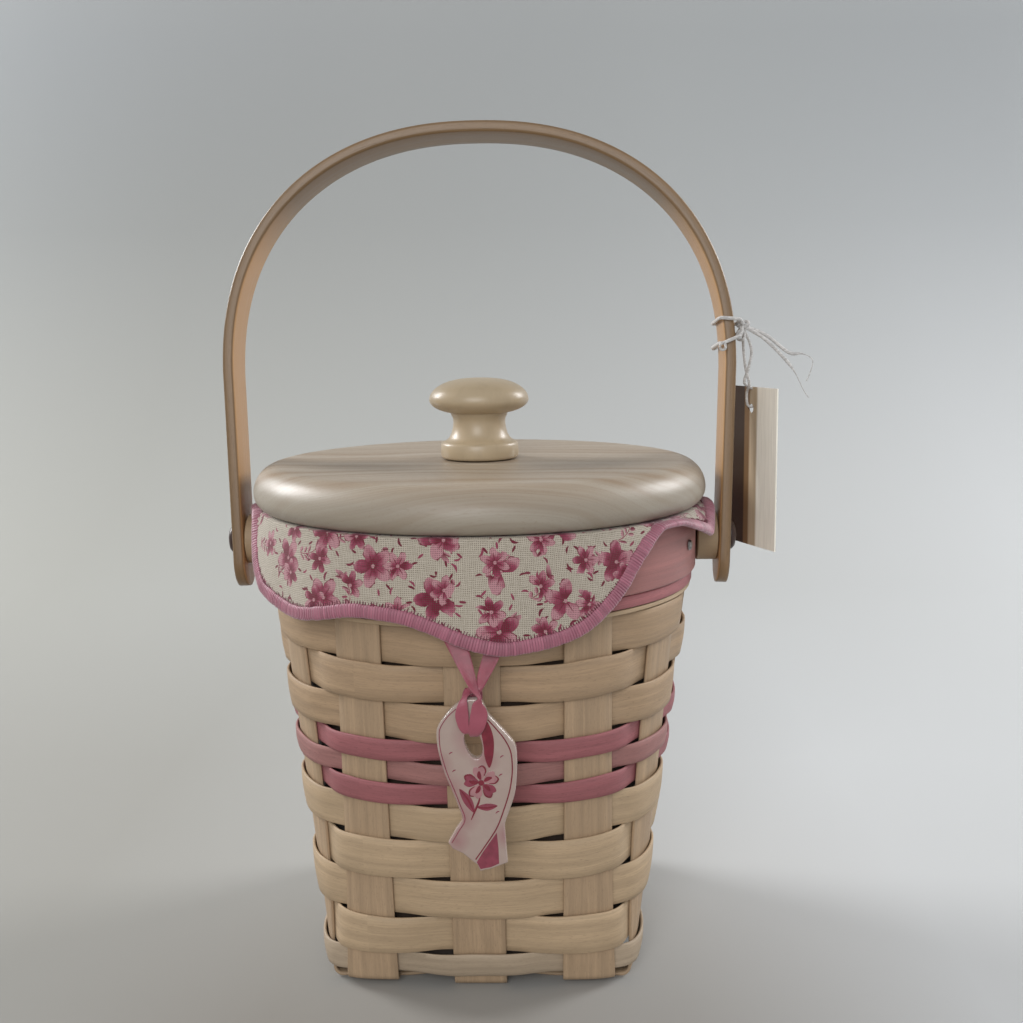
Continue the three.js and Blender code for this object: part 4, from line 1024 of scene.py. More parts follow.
def build_liner():
    """The cloth as one sheet. Its UVs give the print's place, and a second layer the distance to the hem."""
    steps = 480
    degrees = np.linspace(-180, 180, steps, endpoint=False)
    rows, flap_start = liner_rows(degrees)
    runs = np.linalg.norm(np.diff(rows, axis=0), axis=2)
    lengths = np.concatenate([np.zeros((1, steps)), np.cumsum(runs, axis=0)])
    below_turn = lengths - lengths[flap_start]
    to_hem = lengths[-1] - lengths
    u_of = np.append(degrees, 180) / 360 * 2 * math.pi * PRINT_RADIUS
    faces, uvs, hems = [], [], []
    for k in range(len(rows) - 1):
        for j in range(steps):
            j2 = (j + 1) % steps
            corners = ((k, j, j), (k, j2, j + 1), (k + 1, j2, j + 1), (k + 1, j, j))
            faces.append([row * steps + column for row, column, _ in corners])
            uvs += [(u_of[edge], -below_turn[row, column]) for row, column, edge in corners]
            hems += [(u_of[edge], to_hem[row, column]) for row, column, edge in corners]
    middle = range(steps - 1, -1, -1)
    faces.append(list(middle))
    uvs += [(u_of[j], -below_turn[0, j]) for j in middle]
    hems += [(u_of[j], to_hem[0, j]) for j in middle]
    made = new_object("liner_sheet", rows.reshape(-1, 3), faces, 180, uvs)
    layer = made.data.uv_layers.new(name="hem")
    layer.data.foreach_set("uv", np.asarray(hems, np.float32).ravel())
    made.data.uv_layers.active_index = 0
    thick = made.modifiers.new("thickness", "SOLIDIFY")
    thick.thickness = LINER_THICKNESS
    thick.offset = 0
    return finish_piece(made, "basket", liner_material(), ["liner"])


def liner_material():
    s = Shader("liner_cloth", roughness=0.92)
    s.set("Sheen Weight", 0.2)
    s.set("Sheen Roughness", 0.5)
    uv = s.uv()
    u, v, _ = s.split(uv)
    linen, pale, gap = colour(168, 159, 144), colour(188, 179, 165), colour(78, 66, 58)
    pulled = (s.noise(uv, 240.0, 3.0) - 0.5) * 0.0009
    threads = [abs(s.math("SINE", (axis + pulled) * (math.pi / pitch)))
               for axis, pitch in ((u, 0.00051), (v, 0.00053))]
    slubs = [s.noise(s.vector("MULTIPLY", uv, scale), 1.0, 3.0, 0.6)
             for scale in ((300, 3000, 1), (3000, 300, 1))]
    hole = s.math("MAXIMUM", *threads)
    ground = s.mix(s.ramp(slubs[0] + slubs[1], 0.8, 1.25), pale, linen)
    painted = floral_print(s, u, v, uv, ground)
    painted = s.mix(s.ramp(hole, 0.36, 0.82, 0.9, 0.0), painted, gap)
    # The bag's outer side is the cloth's unprinted back, seen only between the weavers; it is painted dark
    # brown, as painted shade there
    outwards = s.vector("MULTIPLY", s.coords("Object"), (1, 1, 0))
    facing = s.vector("DOT_PRODUCT", s.coords("Normal"), outwards)
    s.set("Base Color", s.mix((facing > 0.0) * (v > 0.02), painted, colour(66, 52, 42)))
    s.bump(hole * 1.4 + slubs[0], strength=0.45, distance=0.00012)
    return s.material


def floral_print(s, u, v, uv, ground):
    """Loose blossoms, leafy sprigs and short strokes, in mm, each kind on its own uneven grid of cells."""
    crimson, rose, wash = colour(108, 20, 46), colour(144, 58, 84), colour(182, 132, 140)
    ragged = s.noise(uv, 900.0, 3.0) - 0.5
    watery = s.noise(uv, 330.0, 3.0)

    def cells(round_count, seed, jitter):
        """Turned coordinates about one spot in each cell, three random numbers and the cell's own vector."""
        pitch = 2 * math.pi * PRINT_RADIUS / round_count
        across = u / pitch
        column = s.math("FLOOR", across)
        up = v / pitch + (s.math("FRACT", column * 0.5) + seed)
        row = s.math("FLOOR", up)
        cell = s.join(column, row, seed)
        chances = s.chances(cell)
        spot_x, spot_y = ((place - start - ((chance - 0.5) * (2 * jitter) + 0.5)) * (pitch / MM)
                          for place, start, chance in ((across, column, chances[0]), (up, row, chances[1])))
        turn = chances[2] * (2 * math.pi)
        c, d = s.math("COSINE", turn), s.math("SINE", turn)
        return spot_x * c - spot_y * d, spot_x * d + spot_y * c, chances, cell

    def folded(x, y, parts, cell):
        """Coordinates as in the first of equal sectors round a spot, and two random numbers a sector."""
        size = 2 * math.pi / parts
        angle = s.math("ARCTAN2", y, x)
        sector = s.math("ROUND", angle / size)
        left = angle - sector * size
        radius = s.math("SQRT", x * x + y * y)
        first, second, _ = s.chances(s.vector("ADD", cell, s.join(sector * 0.37, 0.19, 7.7)))
        return radius * s.math("COSINE", left), radius * s.math("SINE", left), radius, first, second

    def oval(x, y, x0, y0, length, width, turn=0.0):
        """Runs from 0 at an oval's middle to 1 at its edge. Also gives the place along and across it."""
        c, d = math.cos(turn), math.sin(turn)
        dx, dy = x - x0, y - y0
        along = dx * (c / length) + dy * (d / length)
        beside = dy * (c / width) - dx * (d / width)
        return along * along + beside * beside, along, beside

    def inside(shape, soft=0.16):
        return s.ramp(shape + ragged * 0.9, 1.0 - soft, 1.0, 1.0, 0.0)

    now = ground
    # Short strokes: how many cells go round, a seed, and a stroke's half length and half width
    for count, seed, length, width in ((74, 3.0, 1.15, 0.34), (58, 11.0, 1.5, 0.42)):
        x, y, (chance, tone, _), _ = cells(count, seed, 0.16)
        shape, _, _ = oval(x, y - x * x * 0.28, 0, 0, length, width)
        now = s.mix(inside(shape, 0.4) * (chance > 0.30), now, s.mix(s.ramp(tone, 0.3, 0.6), crimson, rose))
    # Sprigs: a bowed stem with leaves to both sides and a bud at its tip
    x, y, (chance, _, _), cell = cells(32, 5.0, 0.08)
    shown = chance > 0.10
    bowed = y - x * x * 0.07
    beside = abs(bowed)
    leaf_step = 1.75
    place = s.math("ROUND", x / leaf_step)
    first, second, _ = s.chances(s.vector("ADD", cell, s.join(place * 0.31, bowed > 0.0, 3.3)))
    shape, _, edge = oval(x - place * leaf_step, beside, 0.1, 1.15, 1.15, 0.5, 0.85)
    reach = abs(x) < 4.3
    leaf = inside(shape) * (first > 0.2) * reach * shown
    now = s.mix(leaf, now, s.mix(s.ramp(edge + (second - 0.5), -0.5, 0.5), crimson, wash))
    stem = s.ramp(beside + ragged * 0.3, 0.08, 0.2, 1.0, 0.0) * reach * shown
    now = s.mix(stem, now, rose)
    bud, along, _ = oval(x, bowed, 4.5, 0.0, 1.5, 0.95)
    now = s.mix(inside(bud) * shown, now, s.mix(s.ramp(along, -0.6, 0.7), crimson, wash))
    # Blossoms: ragged petals, dark at the heart and along one edge. Strokes ring the large ones.
    for count, seed, petals, heart, length, width in (
            (26, 1.0, 5, 3.3, 3.0, 2.0), (34, 8.0, 6, 2.3, 2.0, 1.15)):
        x, y, (chance, _, _), cell = cells(count, seed, 0.07)
        shown = chance > 0.04
        px, py, radius, first, second = folded(x, y, petals, cell)
        shape, along, edge = oval(px, py + ragged * 0.7, heart, 0, length, width)
        petal = inside(shape) * (first > 0.12) * shown
        depth = along + (second - 0.5) * 1.3 + (watery - 0.5) * 2.2
        outer_tint = s.mix(s.ramp(depth, -0.2, 0.45), rose, wash)
        now = s.mix(petal, now, s.mix(s.ramp(depth, -0.8, -0.2), crimson, outer_tint))
        line = s.ramp(shape, 0.66, 0.8) * s.ramp(edge, -0.35, 0.2)
        now = s.mix(line * petal * s.ramp(watery, 0.36, 0.5), now, crimson)
        vein = s.ramp(abs(py), 0.06, 0.2, 1.0, 0.0) * s.ramp(along, -0.2, 0.3, 1.0, 0.0)
        now = s.mix(vein * petal, now, crimson)
        now = s.mix(s.ramp(radius, 0.35, 0.6, 1.0, 0.0) * shown, now, wash)
        if petals == 5:
            px, py, _, first, second = folded(x, y, 11, cell)
            shape, _, _ = oval(px, py - (second - 0.5) * 1.2, 7.3, 0, 1.1, 0.38)
            ring = inside(shape, 0.4) * (first > 0.35) * shown
            now = s.mix(ring, now, s.mix(s.ramp(second, 0.4, 0.7), crimson, rose))
    return now


def hem_frame(angle):
    """Along the hem: its points, and unit directions along it, up the cloth and out of it."""
    edge = flap_point(angle, 1.0)
    up = flap_point(angle, 0.9) - edge
    size = np.linalg.norm(up, axis=1)
    # Where the flap is short, its own direction gives way to one that leans in over the rim
    share = np.clip(size / 0.0006, 0, 1)[:, None]
    over_rim = from_front(-1.0, np.radians(angle), 0.0)
    up = unit(up / np.maximum(size, 1e-9)[:, None] * share + over_rim * (1 - share) * 0.5)
    along = unit(np.roll(edge, -1, axis=0) - np.roll(edge, 1, axis=0))
    up = unit(up - along * (up * along).sum(1)[:, None])
    return edge, along, up, np.cross(along, up)


def build_binding(liner):
    """The overlocked edge: thread laid round the hem, one ridge a stitch."""
    angle = np.linspace(0, 360, 4001)
    runs = np.linalg.norm(np.diff(flap_point(angle, 1.0), axis=0), axis=1)
    length = np.concatenate([[0], np.cumsum(runs)])
    stitches = int(length[-1] / STITCH_PITCH)
    per_stitch = 6
    count = stitches * per_stitch
    edge, along, up, out = hem_frame(np.interp(np.arange(count) / count * length[-1], length, angle))
    middle = edge + up * (BINDING_WIDTH / 2 - BINDING_OVERHANG)
    ridge = np.abs(np.sin(math.pi * (np.arange(count) % per_stitch) / per_stitch)) ** 0.7
    wobbles = [random.Random(k).uniform(-1, 1) for k in range(stitches + 1)]
    wobble = np.interp(np.arange(count) / per_stitch, np.arange(stitches + 1), wobbles)
    widths = BINDING_WIDTH / 2 * (1 + 0.04 * wobble)
    heights = BINDING_THICKNESS / 2 * (0.80 + 0.20 * ridge + 0.05 * wobble)
    # A section between an oval and a rectangle
    turns = np.linspace(0, 2 * math.pi, 16, endpoint=False)
    across = np.sign(np.cos(turns)) * np.abs(np.cos(turns)) ** BINDING_SQUARENESS
    proud = np.sign(np.sin(turns)) * np.abs(np.sin(turns)) ** BINDING_SQUARENESS
    rings = [middle[k] + np.outer(across * widths[k], up[k]) + np.outer(proud * heights[k], out[k])
             for k in range(count)]
    made = loft("overlocked_edge", rings, closed=True, smooth_angle=180)
    thread = binding_material(2 * math.pi * stitches / length[-1])
    finish_piece(made, "basket", thread, ["liner_binding"])
    ticks = build_ticks(*(field[::per_stitch] for field in (edge, up, out, along)))


def binding_material(turn_per_metre):
    """Thread with a dark valley after each stitch. One stitch is a full turn along U."""
    s = Shader("binding_thread", roughness=0.5)
    s.set("Sheen Weight", 0.4)
    turn = s.split(s.uv())[0] * turn_per_metre
    valley = s.ramp(s.math("COSINE", turn), 0.2, 1.0)
    uneven, lost, _ = s.chances(s.join(s.math("FLOOR", turn / (2 * math.pi)), 0.3, 0.7))
    tint, dark = colour(162, 98, 116), colour(100, 40, 60)
    tone = s.mix(uneven, shade(tint, 0.82), shade(tint, 1.16))
    tone = s.mix(valley * s.ramp(lost, 0.0, 1.0, 0.35, 0.85), tone, dark)
    cloud = s.noise(s.coords("Object", (160, 160, 160)), 1.0, 2.0)
    tone = s.mix(s.ramp(cloud, 0.4, 0.7, 0, 0.4), tone, shade(tint, 0.8))
    s.set("Base Color", tone)
    s.bump(s.math("SINE", turn * 4.0) * 0.5, strength=0.3, distance=0.00006)
    return s.material


def build_ticks(edge, up, out, along):
    """Where each stitch bites the cloth: a short tick of darker thread past the edging."""
    source = random.Random(31)
    near = 0.0034
    low, high = LINER_THICKNESS / 2 - 0.00015, LINER_THICKNESS / 2 + 0.0002
    far_high = high * 0.35 + low * (1 - 0.35)
    vertices, faces = [], []
    for place, inward, face, beside in zip(edge, up, out, along):
        far = near + source.uniform(0.0007, 0.0015)
        half = source.uniform(0.00014, 0.00021)
        lean = source.uniform(-0.0001, 0.0001)
        start = len(vertices)
        for near_depth, far_depth in ((low, low), (high, far_high)):
            for reach, side, depth in ((near, -half, near_depth), (near, half, near_depth),
                                       (far, half * 0.6, far_depth), (far, -half * 0.6, far_depth)):
                vertices.append(place + inward * reach + beside * (side + lean) + face * depth)
        for corners in ((0, 1, 5, 4), (1, 2, 6, 5), (2, 3, 7, 6), (3, 0, 4, 7), (4, 5, 6, 7), (3, 2, 1, 0)):
            faces.append([start + k for k in corners])
    made = new_object("stitch_ticks", vertices, faces, 60)
    s = Shader("tick_thread", roughness=0.6)
    cloud = s.noise(s.coords("Object"), 700.0, 2.0)
    s.set("Base Color", s.mix(cloud, colour(82, 20, 40), colour(106, 38, 58)))
    return finish_piece(made, "basket", s.material)


build_binding(build_liner())


# Ribbon and charm
# Each station of a strand: x, y, z and width in mm. One comes down from the left, crosses in front and wraps
# the hole's right side; the other comes from the right, tucks in behind and wraps the hole's left side.
STRAND_FROM_LEFT = [
    (-9.5, -69.3, 127.5, 5.0), (-6.6, -70.3, 119.5, 5.0), (-2.7, -71.9, 111.9, 5.0),
    (0.1, -74.6, 105.4, 3.3), (1.4, -76.3, 102.6, 2.2), (2.8, -77.6, 100.6, 1.1), (2.9, -77.8, 99.7, 1.3),
    (2.5, -77.7, 98.2, 3.2), (2.7, -77.6, 95.8, 4.6), (2.2, -77.5, 93.0, 4.4), (1.6, -77.1, 90.9, 3.8),
    (1.3, -76.3, 89.6, 3.0), (1.1, -75.0, 88.9, 2.0), (1.1, -73.7, 89.6, 2.4), (1.2, -73.1, 92.0, 3.2),
    (1.6, -72.9, 96.5, 3.6), (1.9, -73.1, 100.3, 3.2), (2.0, -73.7, 101.8, 2.6),
]
STRAND_FROM_RIGHT = [
    (11.3, -69.0, 127.5, 5.0), (9.3, -69.8, 119.5, 4.9), (6.3, -71.4, 111.0, 4.5),
    (3.9, -74.2, 105.4, 3.3), (2.9, -75.8, 102.6, 1.9), (2.0, -76.0, 101.5, 1.8), (0.9, -75.2, 101.5, 2.4),
    (-0.4, -75.4, 101.2, 2.0), (-1.1, -76.6, 100.1, 1.4), (-1.6, -77.3, 98.4, 2.6),
    (-1.9, -77.3, 95.6, 3.6), (-1.6, -77.2, 92.8, 3.0), (-1.0, -76.9, 91.0, 2.2), (-0.3, -76.3, 90.2, 1.6),
    (0.0, -75.0, 90.0, 1.4), (0.0, -73.7, 90.6, 2.0), (-0.3, -73.1, 93.0, 3.0), (-0.6, -72.9, 97.0, 3.4),
    (-0.4, -73.2, 100.2, 3.0), (0.0, -73.8, 101.6, 2.4),
]


def build_strand(name, stations, seed, satin, replaced=()):
    stations = smooth_path(np.array(stations) * MM, 12)
    middle, width = stations[:, :3], stations[:, 3]
    along = unit(np.gradient(middle, axis=0))
    side = unit(np.array([-1.0, 0, 0]) + along * along[:, :1])
    face = np.cross(along, side)
    # A narrow stretch is a folded one, so it is thicker
    thickness = RIBBON_THICKNESS * (1 + 0.8 * np.clip(1 - width / RIBBON_WIDTH, 0, 1))
    rings = []
    for k in range(len(middle)):
        cup = 0.00022 * math.sin(k * 0.11 + seed)
        top, under = [], []
        for t in np.linspace(-1, 1, 15):
            edge = 0.55 if abs(t) == 1 else 1.0
            selvedge = 0.00005 if 0.8 < abs(t) < 0.95 else 0.0
            base = middle[k] + side[k] * (t * width[k] / 2) + face[k] * (cup * (t * t - 0.5))
            top.append(base + face[k] * (thickness[k] / 2 * edge + selvedge))
            under.append(base - face[k] * thickness[k] / 2 * edge)
        rings.append(two_faces(top, under))
    finish_piece(loft(name, rings, smooth_angle=60), "charm", satin, replaced)


def ribbon_material():
    s = Shader("ribbon_satin", roughness=0.38)
    s.set("Sheen Weight", 0.2)
    s.set("Anisotropic", 0.4)
    uv = s.uv()
    rib_pitch = 0.00035
    ribs = s.math("SINE", s.split(uv)[0] * (2 * math.pi / rib_pitch))
    tint = colour(143, 63, 79)
    tone = s.mix(s.ramp(s.noise(uv, 380.0, 2.0), 0.35, 0.7), shade(tint, 0.82), shade(tint, 1.12))
    # Painted light: the loops below the pinch are painted a lighter pink
    height = s.split(s.coords("Object"))[2]
    tone = s.mix(s.ramp(height, 0.0985, 0.1035, 0.75, 0.0), tone, colour(164, 88, 104))
    tone = s.mix(s.ramp(ribs, -1, 0.2, 0.18, 0), tone, shade(tint, 0.6))
    s.set("Base Color", tone)
    s.bump(ribs, strength=0.18, distance=0.00006)
    return s.material


def build_ribbon():
    satin = ribbon_material()
    build_strand("ribbon_strand_left", STRAND_FROM_LEFT, 0.4, satin, ["charm_ribbon"])
    build_strand("ribbon_strand_right", STRAND_FROM_RIGHT, 2.2, satin)


build_ribbon()

# The charm seen from the front, as x and z in mm: smooth flanks, then the cut ends of its two tails
CHARM_RIGHT = [
    (1.9, 99.6), (3.6, 98.6), (5.2, 95.2), (7.4, 92.6), (9.9, 89.8), (12.2, 86.6), (12.7, 83.0),
    (12.5, 77.0), (11.9, 72.6), (10.4, 68.0), (9.2, 64.3), (9.3, 60.2), (9.8, 53.2),
]
CHARM_TAILS = [(7.9, 52.4), (5.3, 51.4), (2.2, 50.7), (1.4, 52.6), (0.5, 53.2), (-2.4, 55.8), (-5.3, 57.2)]
CHARM_LEFT = [
    (-6.4, 58.9), (-4.3, 62.6), (-2.5, 65.6), (-3.6, 69.6), (-5.1, 73.8), (-7.1, 79.0),
    (-8.6, 85.0), (-9.0, 89.8), (-8.4, 92.2), (-6.3, 95.2), (-3.9, 97.7), (-1.2, 99.2), (0.4, 99.6),
]
CHARM_HOLE = [
    (0.4, 91.2), (-1.0, 90.4), (-1.5, 88.4), (-1.0, 86.0), (0.2, 83.8), (1.7, 82.9),
    (3.0, 83.7), (3.4, 85.8), (2.9, 88.4), (1.7, 90.5),
]
# Sprayed blushes on the charm, as x, z and reach in mm
CHARM_BLUSHES = [(-8.6, 81.0, 4.5), (-6.2, 74.0, 5.5), (-3.0, 66.5, 6.0), (0.8, 88.5, 6.5), (4.0, 82.5, 4.5),
                 (9.5, 61.0, 4.5), (-4.0, 59.5, 4.0)]


def glossy(name, roughness):
    """A shader with a clear coat over slightly uneven glaze, and its object coordinates."""
    s = Shader(name, roughness)
    s.set("Coat Weight", 0.8)
    s.set("Coat Roughness", 0.05)
    place = s.coords("Object")
    s.bump(s.noise(place, 90.0, 2.0), strength=0.12, distance=0.0004)
    return s, place


def glaze_paint(name, tint, spread, scale):
    s, place = glossy(name, roughness=0.22)
    cloud = s.ramp(s.noise(place, scale, 3.0), 0.3, 0.7)
    s.set("Base Color", s.mix(cloud, shade(tint, 1 - spread), shade(tint, 1 + spread * 0.5)))
    return s.material


def charm_glaze():
    """White glaze with sprayed blushes, paler on the rounded edge."""
    s, place = glossy("charm_glaze", roughness=0.2)
    x, y, z = s.split(place)
    tone = s.mix(s.noise(place, 260.0, 3.0), colour(166, 146, 138), colour(176, 158, 150))
    for spot_x, spot_z, reach in CHARM_BLUSHES:
        away = s.vector("SUBTRACT", s.join(x, 0.0, z), (spot_x * MM, 0, spot_z * MM))
        distance = s.math("SQRT", s.vector("DOT_PRODUCT", away, away))
        tone = s.mix(s.ramp(distance, 0.0, reach * MM, 0.62, 0.0), tone, colour(146, 88, 98))
    edge = s.ramp(y, CHARM_FACE + 0.0002, CHARM_FACE + 0.0006)
    s.set("Base Color", s.mix(edge, tone, colour(186, 172, 165)))
    return s.material


def sideways_of(line, closed):
    """Unit directions to the left of a flat line of [x, z] points."""
    ahead = np.roll(line, -1, axis=0) - np.roll(line, 1, axis=0) if closed else np.gradient(line, axis=0)
    ahead = unit(ahead)
    return np.stack([-ahead[:, 1], ahead[:, 0]], 1)


def in_front(outline, y):
    return [(x, y, z) for x, z in outline]


def counter_clockwise(outline):
    x, z = outline[:, 0], outline[:, 1]
    area = (x * np.roll(z, -1) - np.roll(x, -1) * z).sum()
    return outline if area > 0 else outline[::-1]


def skin(work, rings):
    """Joins outlines that lie one behind the other. Gives the first and last one's points and edges."""
    layers = [[work.verts.new(p) for p in ring] for ring in rings]
    for first, second in zip(layers, layers[1:]):
        for k, start in enumerate(first):
            after = (k + 1) % len(first)
            work.faces.new((start, first[after], second[after], second[k]))
    ends = []
    for layer in (layers[0], layers[-1]):
        edges = [work.edges.get((start, layer[(k + 1) % len(layer)])) for k, start in enumerate(layer)]
        ends.append((layer, edges))
    return ends


def build_charm():
    right = smooth_path(np.array(CHARM_RIGHT) * MM, 8)
    left = smooth_path(np.array(CHARM_LEFT) * MM, 8)
    outline = counter_clockwise(np.vstack([right, np.array(CHARM_TAILS) * MM, left]))
    hole = counter_clockwise(smooth_path(np.array(CHARM_HOLE) * MM, 5, closed=True))
    # The rounded edge: how far in, and how deep behind the face
    eased = [(0.00060, 0.0), (0.00030, 0.00004), (0.00010, 0.00018), (0.0, 0.00045)]
    sides = [(inset, CHARM_FACE + deep) for inset, deep in eased]
    sides += [(inset, CHARM_BACK - deep) for inset, deep in eased[::-1]]
    work = bmesh.new()
    flank = sideways_of(outline, closed=True)
    rim = sideways_of(hole, closed=True)
    outer = skin(work, [in_front(outline + flank * inset, y) for inset, y in sides])
    inner = skin(work, [in_front(hole - rim * (inset * 0.8), y) for inset, y in sides])
    for (_, outer_edges), (_, inner_edges) in zip(outer, inner):
        bmesh.ops.triangle_fill(work, edges=outer_edges + inner_edges, use_beauty=True)
    body = object_from_bmesh("charm_body", work)
    body.data.shade_smooth()
    body.data.set_sharp_from_angle(angle=math.radians(50))
    finish_piece(body, "charm", charm_glaze(), ["charm"])


def painted(name, outline, material, proud=0.00006, smooth=True):
    """Glaze paint on the charm's face: a closed shape from its [x, z] points in mm, a little proud."""
    points = np.array(outline) * MM
    if smooth:
        points = smooth_path(points, 6, closed=True)
    points = counter_clockwise(points)
    work = bmesh.new()
    depths = (CHARM_FACE - proud, CHARM_FACE + PAINT_SUNK)
    (front, _), (back, _) = skin(work, [in_front(points, y) for y in depths])
    work.faces.new(front)
    work.faces.new(back[::-1])
    finish_piece(object_from_bmesh(name, work), "charm", material)


def stroke(name, path, width, material, proud=0.0001, taper=True):
    """A painted line through [x, z] points in mm."""
    line = smooth_path(path, 8)
    half = np.full(len(line), width / 2)
    if taper:
        half *= 0.25 + 0.75 * np.sin(np.linspace(0.12, math.pi - 0.12, len(line)))
    away = sideways_of(line, closed=False) * half[:, None]
    painted(name, two_faces(line + away, line - away), material, proud, smooth=False)


# What is painted on the charm, as x and z in mm
TAIL_PAINT = [(6.9, 61.9), (5.0, 59.2), (3.0, 56.3), (1.3, 53.4), (2.3, 51.4), (5.2, 52.0), (7.4, 53.0),
              (7.3, 57.3)]
SHADOW_PAINT = [(4.7, 93.4), (5.9, 91.0), (6.5, 88.0), (6.4, 84.6), (5.8, 81.6), (5.1, 80.4),
                (4.3, 82.2), (3.85, 84.2), (3.8, 85.8), (3.45, 88.4), (3.2, 90.2), (3.6, 92.0)]
RIGHT_LINE = [(5.0, 93.9), (7.2, 91.3), (9.4, 88.4), (11.0, 84.9), (11.4, 80.5), (11.1, 76.8),
              (10.4, 73.2), (9.0, 68.7), (6.9, 63.2), (3.4, 57.7), (1.0, 54.2)]
LEFT_LINE = [(-3.6, 96.9), (-5.9, 94.7), (-7.7, 92.0), (-8.2, 89.8), (-7.9, 85.2), (-6.4, 79.3),
             (-4.4, 74.0), (-2.9, 69.8), (-1.7, 65.7), (-3.6, 62.1), (-5.4, 59.0)]
BLOSSOM_MIDDLE = np.array([2.9, 76.2])
BLOSSOM_GROWTH = 1.38
# A petal's outline, edge line and vein: how far out along the petal, and how far across it
PETAL_OUTLINE = [(0.45, 0.0), (1.2, 0.75), (2.3, 1.25), (3.3, 0.85), (3.1, 0.0), (3.3, -0.85), (2.3, -1.25),
                 (1.2, -0.75)]
PETAL_LINE = [(1.3, -0.85), (2.4, -1.3), (3.35, -0.85), (3.15, 0.0)]
PETAL_VEIN = [(0.9, 0.0), (2.1, 0.2), (3.3, 0.0)]


def paint_blossom(deep, petal_paints):
    for petal in range(5):
        turn = math.radians(99 + 72 * petal)
        out = np.array([math.cos(turn), math.sin(turn)])
        side = np.array([-out[1], out[0]])

        def placed(points, growth=BLOSSOM_GROWTH):
            return [BLOSSOM_MIDDLE + (out * along + side * across) * growth for along, across in points]

        number = petal + 1
        painted(f"petal_{number}", placed(PETAL_OUTLINE), petal_paints[petal % 2],
                proud=0.00008 + 0.00002 * petal)
        stroke(f"petal_vein_{number}", placed(PETAL_VEIN, 1), 1.1, deep, proud=0.00022)
        stroke(f"petal_line_{number}", placed(PETAL_LINE), 0.42, deep, proud=0.00022)
    heart = [BLOSSOM_MIDDLE + np.array([math.cos(t), math.sin(t)]) * 0.8
             for t in np.linspace(0, 2 * math.pi, 8, endpoint=False)]
    painted("blossom_middle", heart, deep, proud=0.00026)


def paint_leaf(name, foot, tip, belly, leaf_paint, line_paint):
    foot, tip = np.array(foot), np.array(tip)
    middle, span = (foot + tip) / 2, tip - foot
    side = np.array([-span[1], span[0]]) / np.linalg.norm(span)
    outline = [foot, middle + side * belly, tip, middle - side * belly * 0.7]
    painted(name, outline, leaf_paint, proud=0.00007)
    stroke(f"{name}_line", [foot, middle + side * belly * 0.3, tip], 0.5, line_paint, proud=0.00012)


def build_painting():
    deep = glaze_paint("charm_paint_deep", colour(122, 36, 54), spread=0.2, scale=500.0)
    rose = glaze_paint("charm_paint_rose", colour(138, 62, 80), spread=0.25, scale=420.0)
    blush = glaze_paint("charm_paint_blush", colour(170, 124, 128), spread=0.15, scale=400.0)
    painted("painted_tail", TAIL_PAINT, rose, smooth=False)
    painted("painted_shadow", SHADOW_PAINT, deep)
    stroke("painted_edge_right", RIGHT_LINE, 0.32, deep, taper=False)
    stroke("painted_edge_left", LEFT_LINE, 0.22, rose, taper=False)
    paint_blossom(deep, (blush, rose))
    stroke("stem", [(2.6, 72.6), (2.1, 70.6), (1.1, 68.2), (0.0, 65.6)], 0.55, deep, proud=0.00009)
    paint_leaf("leaf_left", (0.9, 67.6), (-3.0, 74.4), -1.4, rose, deep)
    paint_leaf("leaf_right", (1.6, 69.2), (7.2, 69.6), -1.2, rose, deep)
    for k, (x, z) in enumerate(((-5.2, 84.6), (-4.4, 79.6), (8.6, 83.6), (8.2, 78.4), (7.2, 67.8))):
        stroke(f"dash_{k + 1}", [(x - 0.5, z - 0.35), (x, z + 0.1), (x + 0.5, z + 0.25)], 0.3, rose)


build_charm()
build_painting()


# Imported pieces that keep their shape: the hang tag, the tacks, the screw and the hidden inner band
def tag_card():
    """Satin cream board with painted shade in bands along its inner edge: the handle's painted shadow in
    dark brown, then painted shading in bronze and tan.
    """
    s = Shader("tag_card", roughness=0.42)
    s.set("Specular IOR Level", 0.2)
    across = (math.cos(TAG_TURN), -math.sin(TAG_TURN), 0)
    from_hole = s.vector("DOT_PRODUCT", s.coords("Object"), across) - float(TAG_HOLE @ across)
    # Painted shadow of the handle, then bronze and tan painted shading, then the card's own cream
    dark = colour(50, 29, 11)
    tone = s.mix(s.ramp(from_hole, -0.0040, -0.0034), dark, colour(116, 86, 54))
    tone = s.mix(s.ramp(from_hole, -0.0012, -0.0002), tone, colour(184, 164, 138))
    tone = s.mix(s.ramp(from_hole, 0.0032, 0.0042), tone, colour(255, 250, 238))
    fibre = s.noise(s.coords("Object", (1400, 1400, 90)), 1.0, 3.0)
    tone = s.mix(s.ramp(fibre, 0.4, 0.75, 0, 0.12), tone, dark)
    s.set("Base Color", tone)
    s.bump(fibre, strength=0.2, distance=0.00004)
    return s.material


def metal(name, tint):
    s = Shader(name, roughness=0.3)
    s.set("Metallic", 0.9)
    wear = s.noise(s.coords("Object", (1500, 1500, 1500)), 1.0, 3.0)
    s.set("Base Color", s.mix(s.ramp(wear, 0.35, 0.7), shade(tint, 0.7), shade(tint, 1.1)))
    s.bump(wear, strength=0.25, distance=0.00005)
    return s.material


def dress(name, material):
    nodes[name].data.materials.clear()
    nodes[name].data.materials.append(material)


def dress_packed_pieces():
    dress("hang_tag", tag_card())
    tack = metal("tack_steel", colour(150, 146, 143))
    for number in range(1, 9):
        dress(f"rim_tack_{number}", tack)
    dress("lid_knob_screw", metal("screw_steel", colour(150, 148, 146)))
    dress("rim_inner_band", solid_wood("inner_band", NATURAL, (60, 60, 240), roughness=0.6))


dress_packed_pieces()


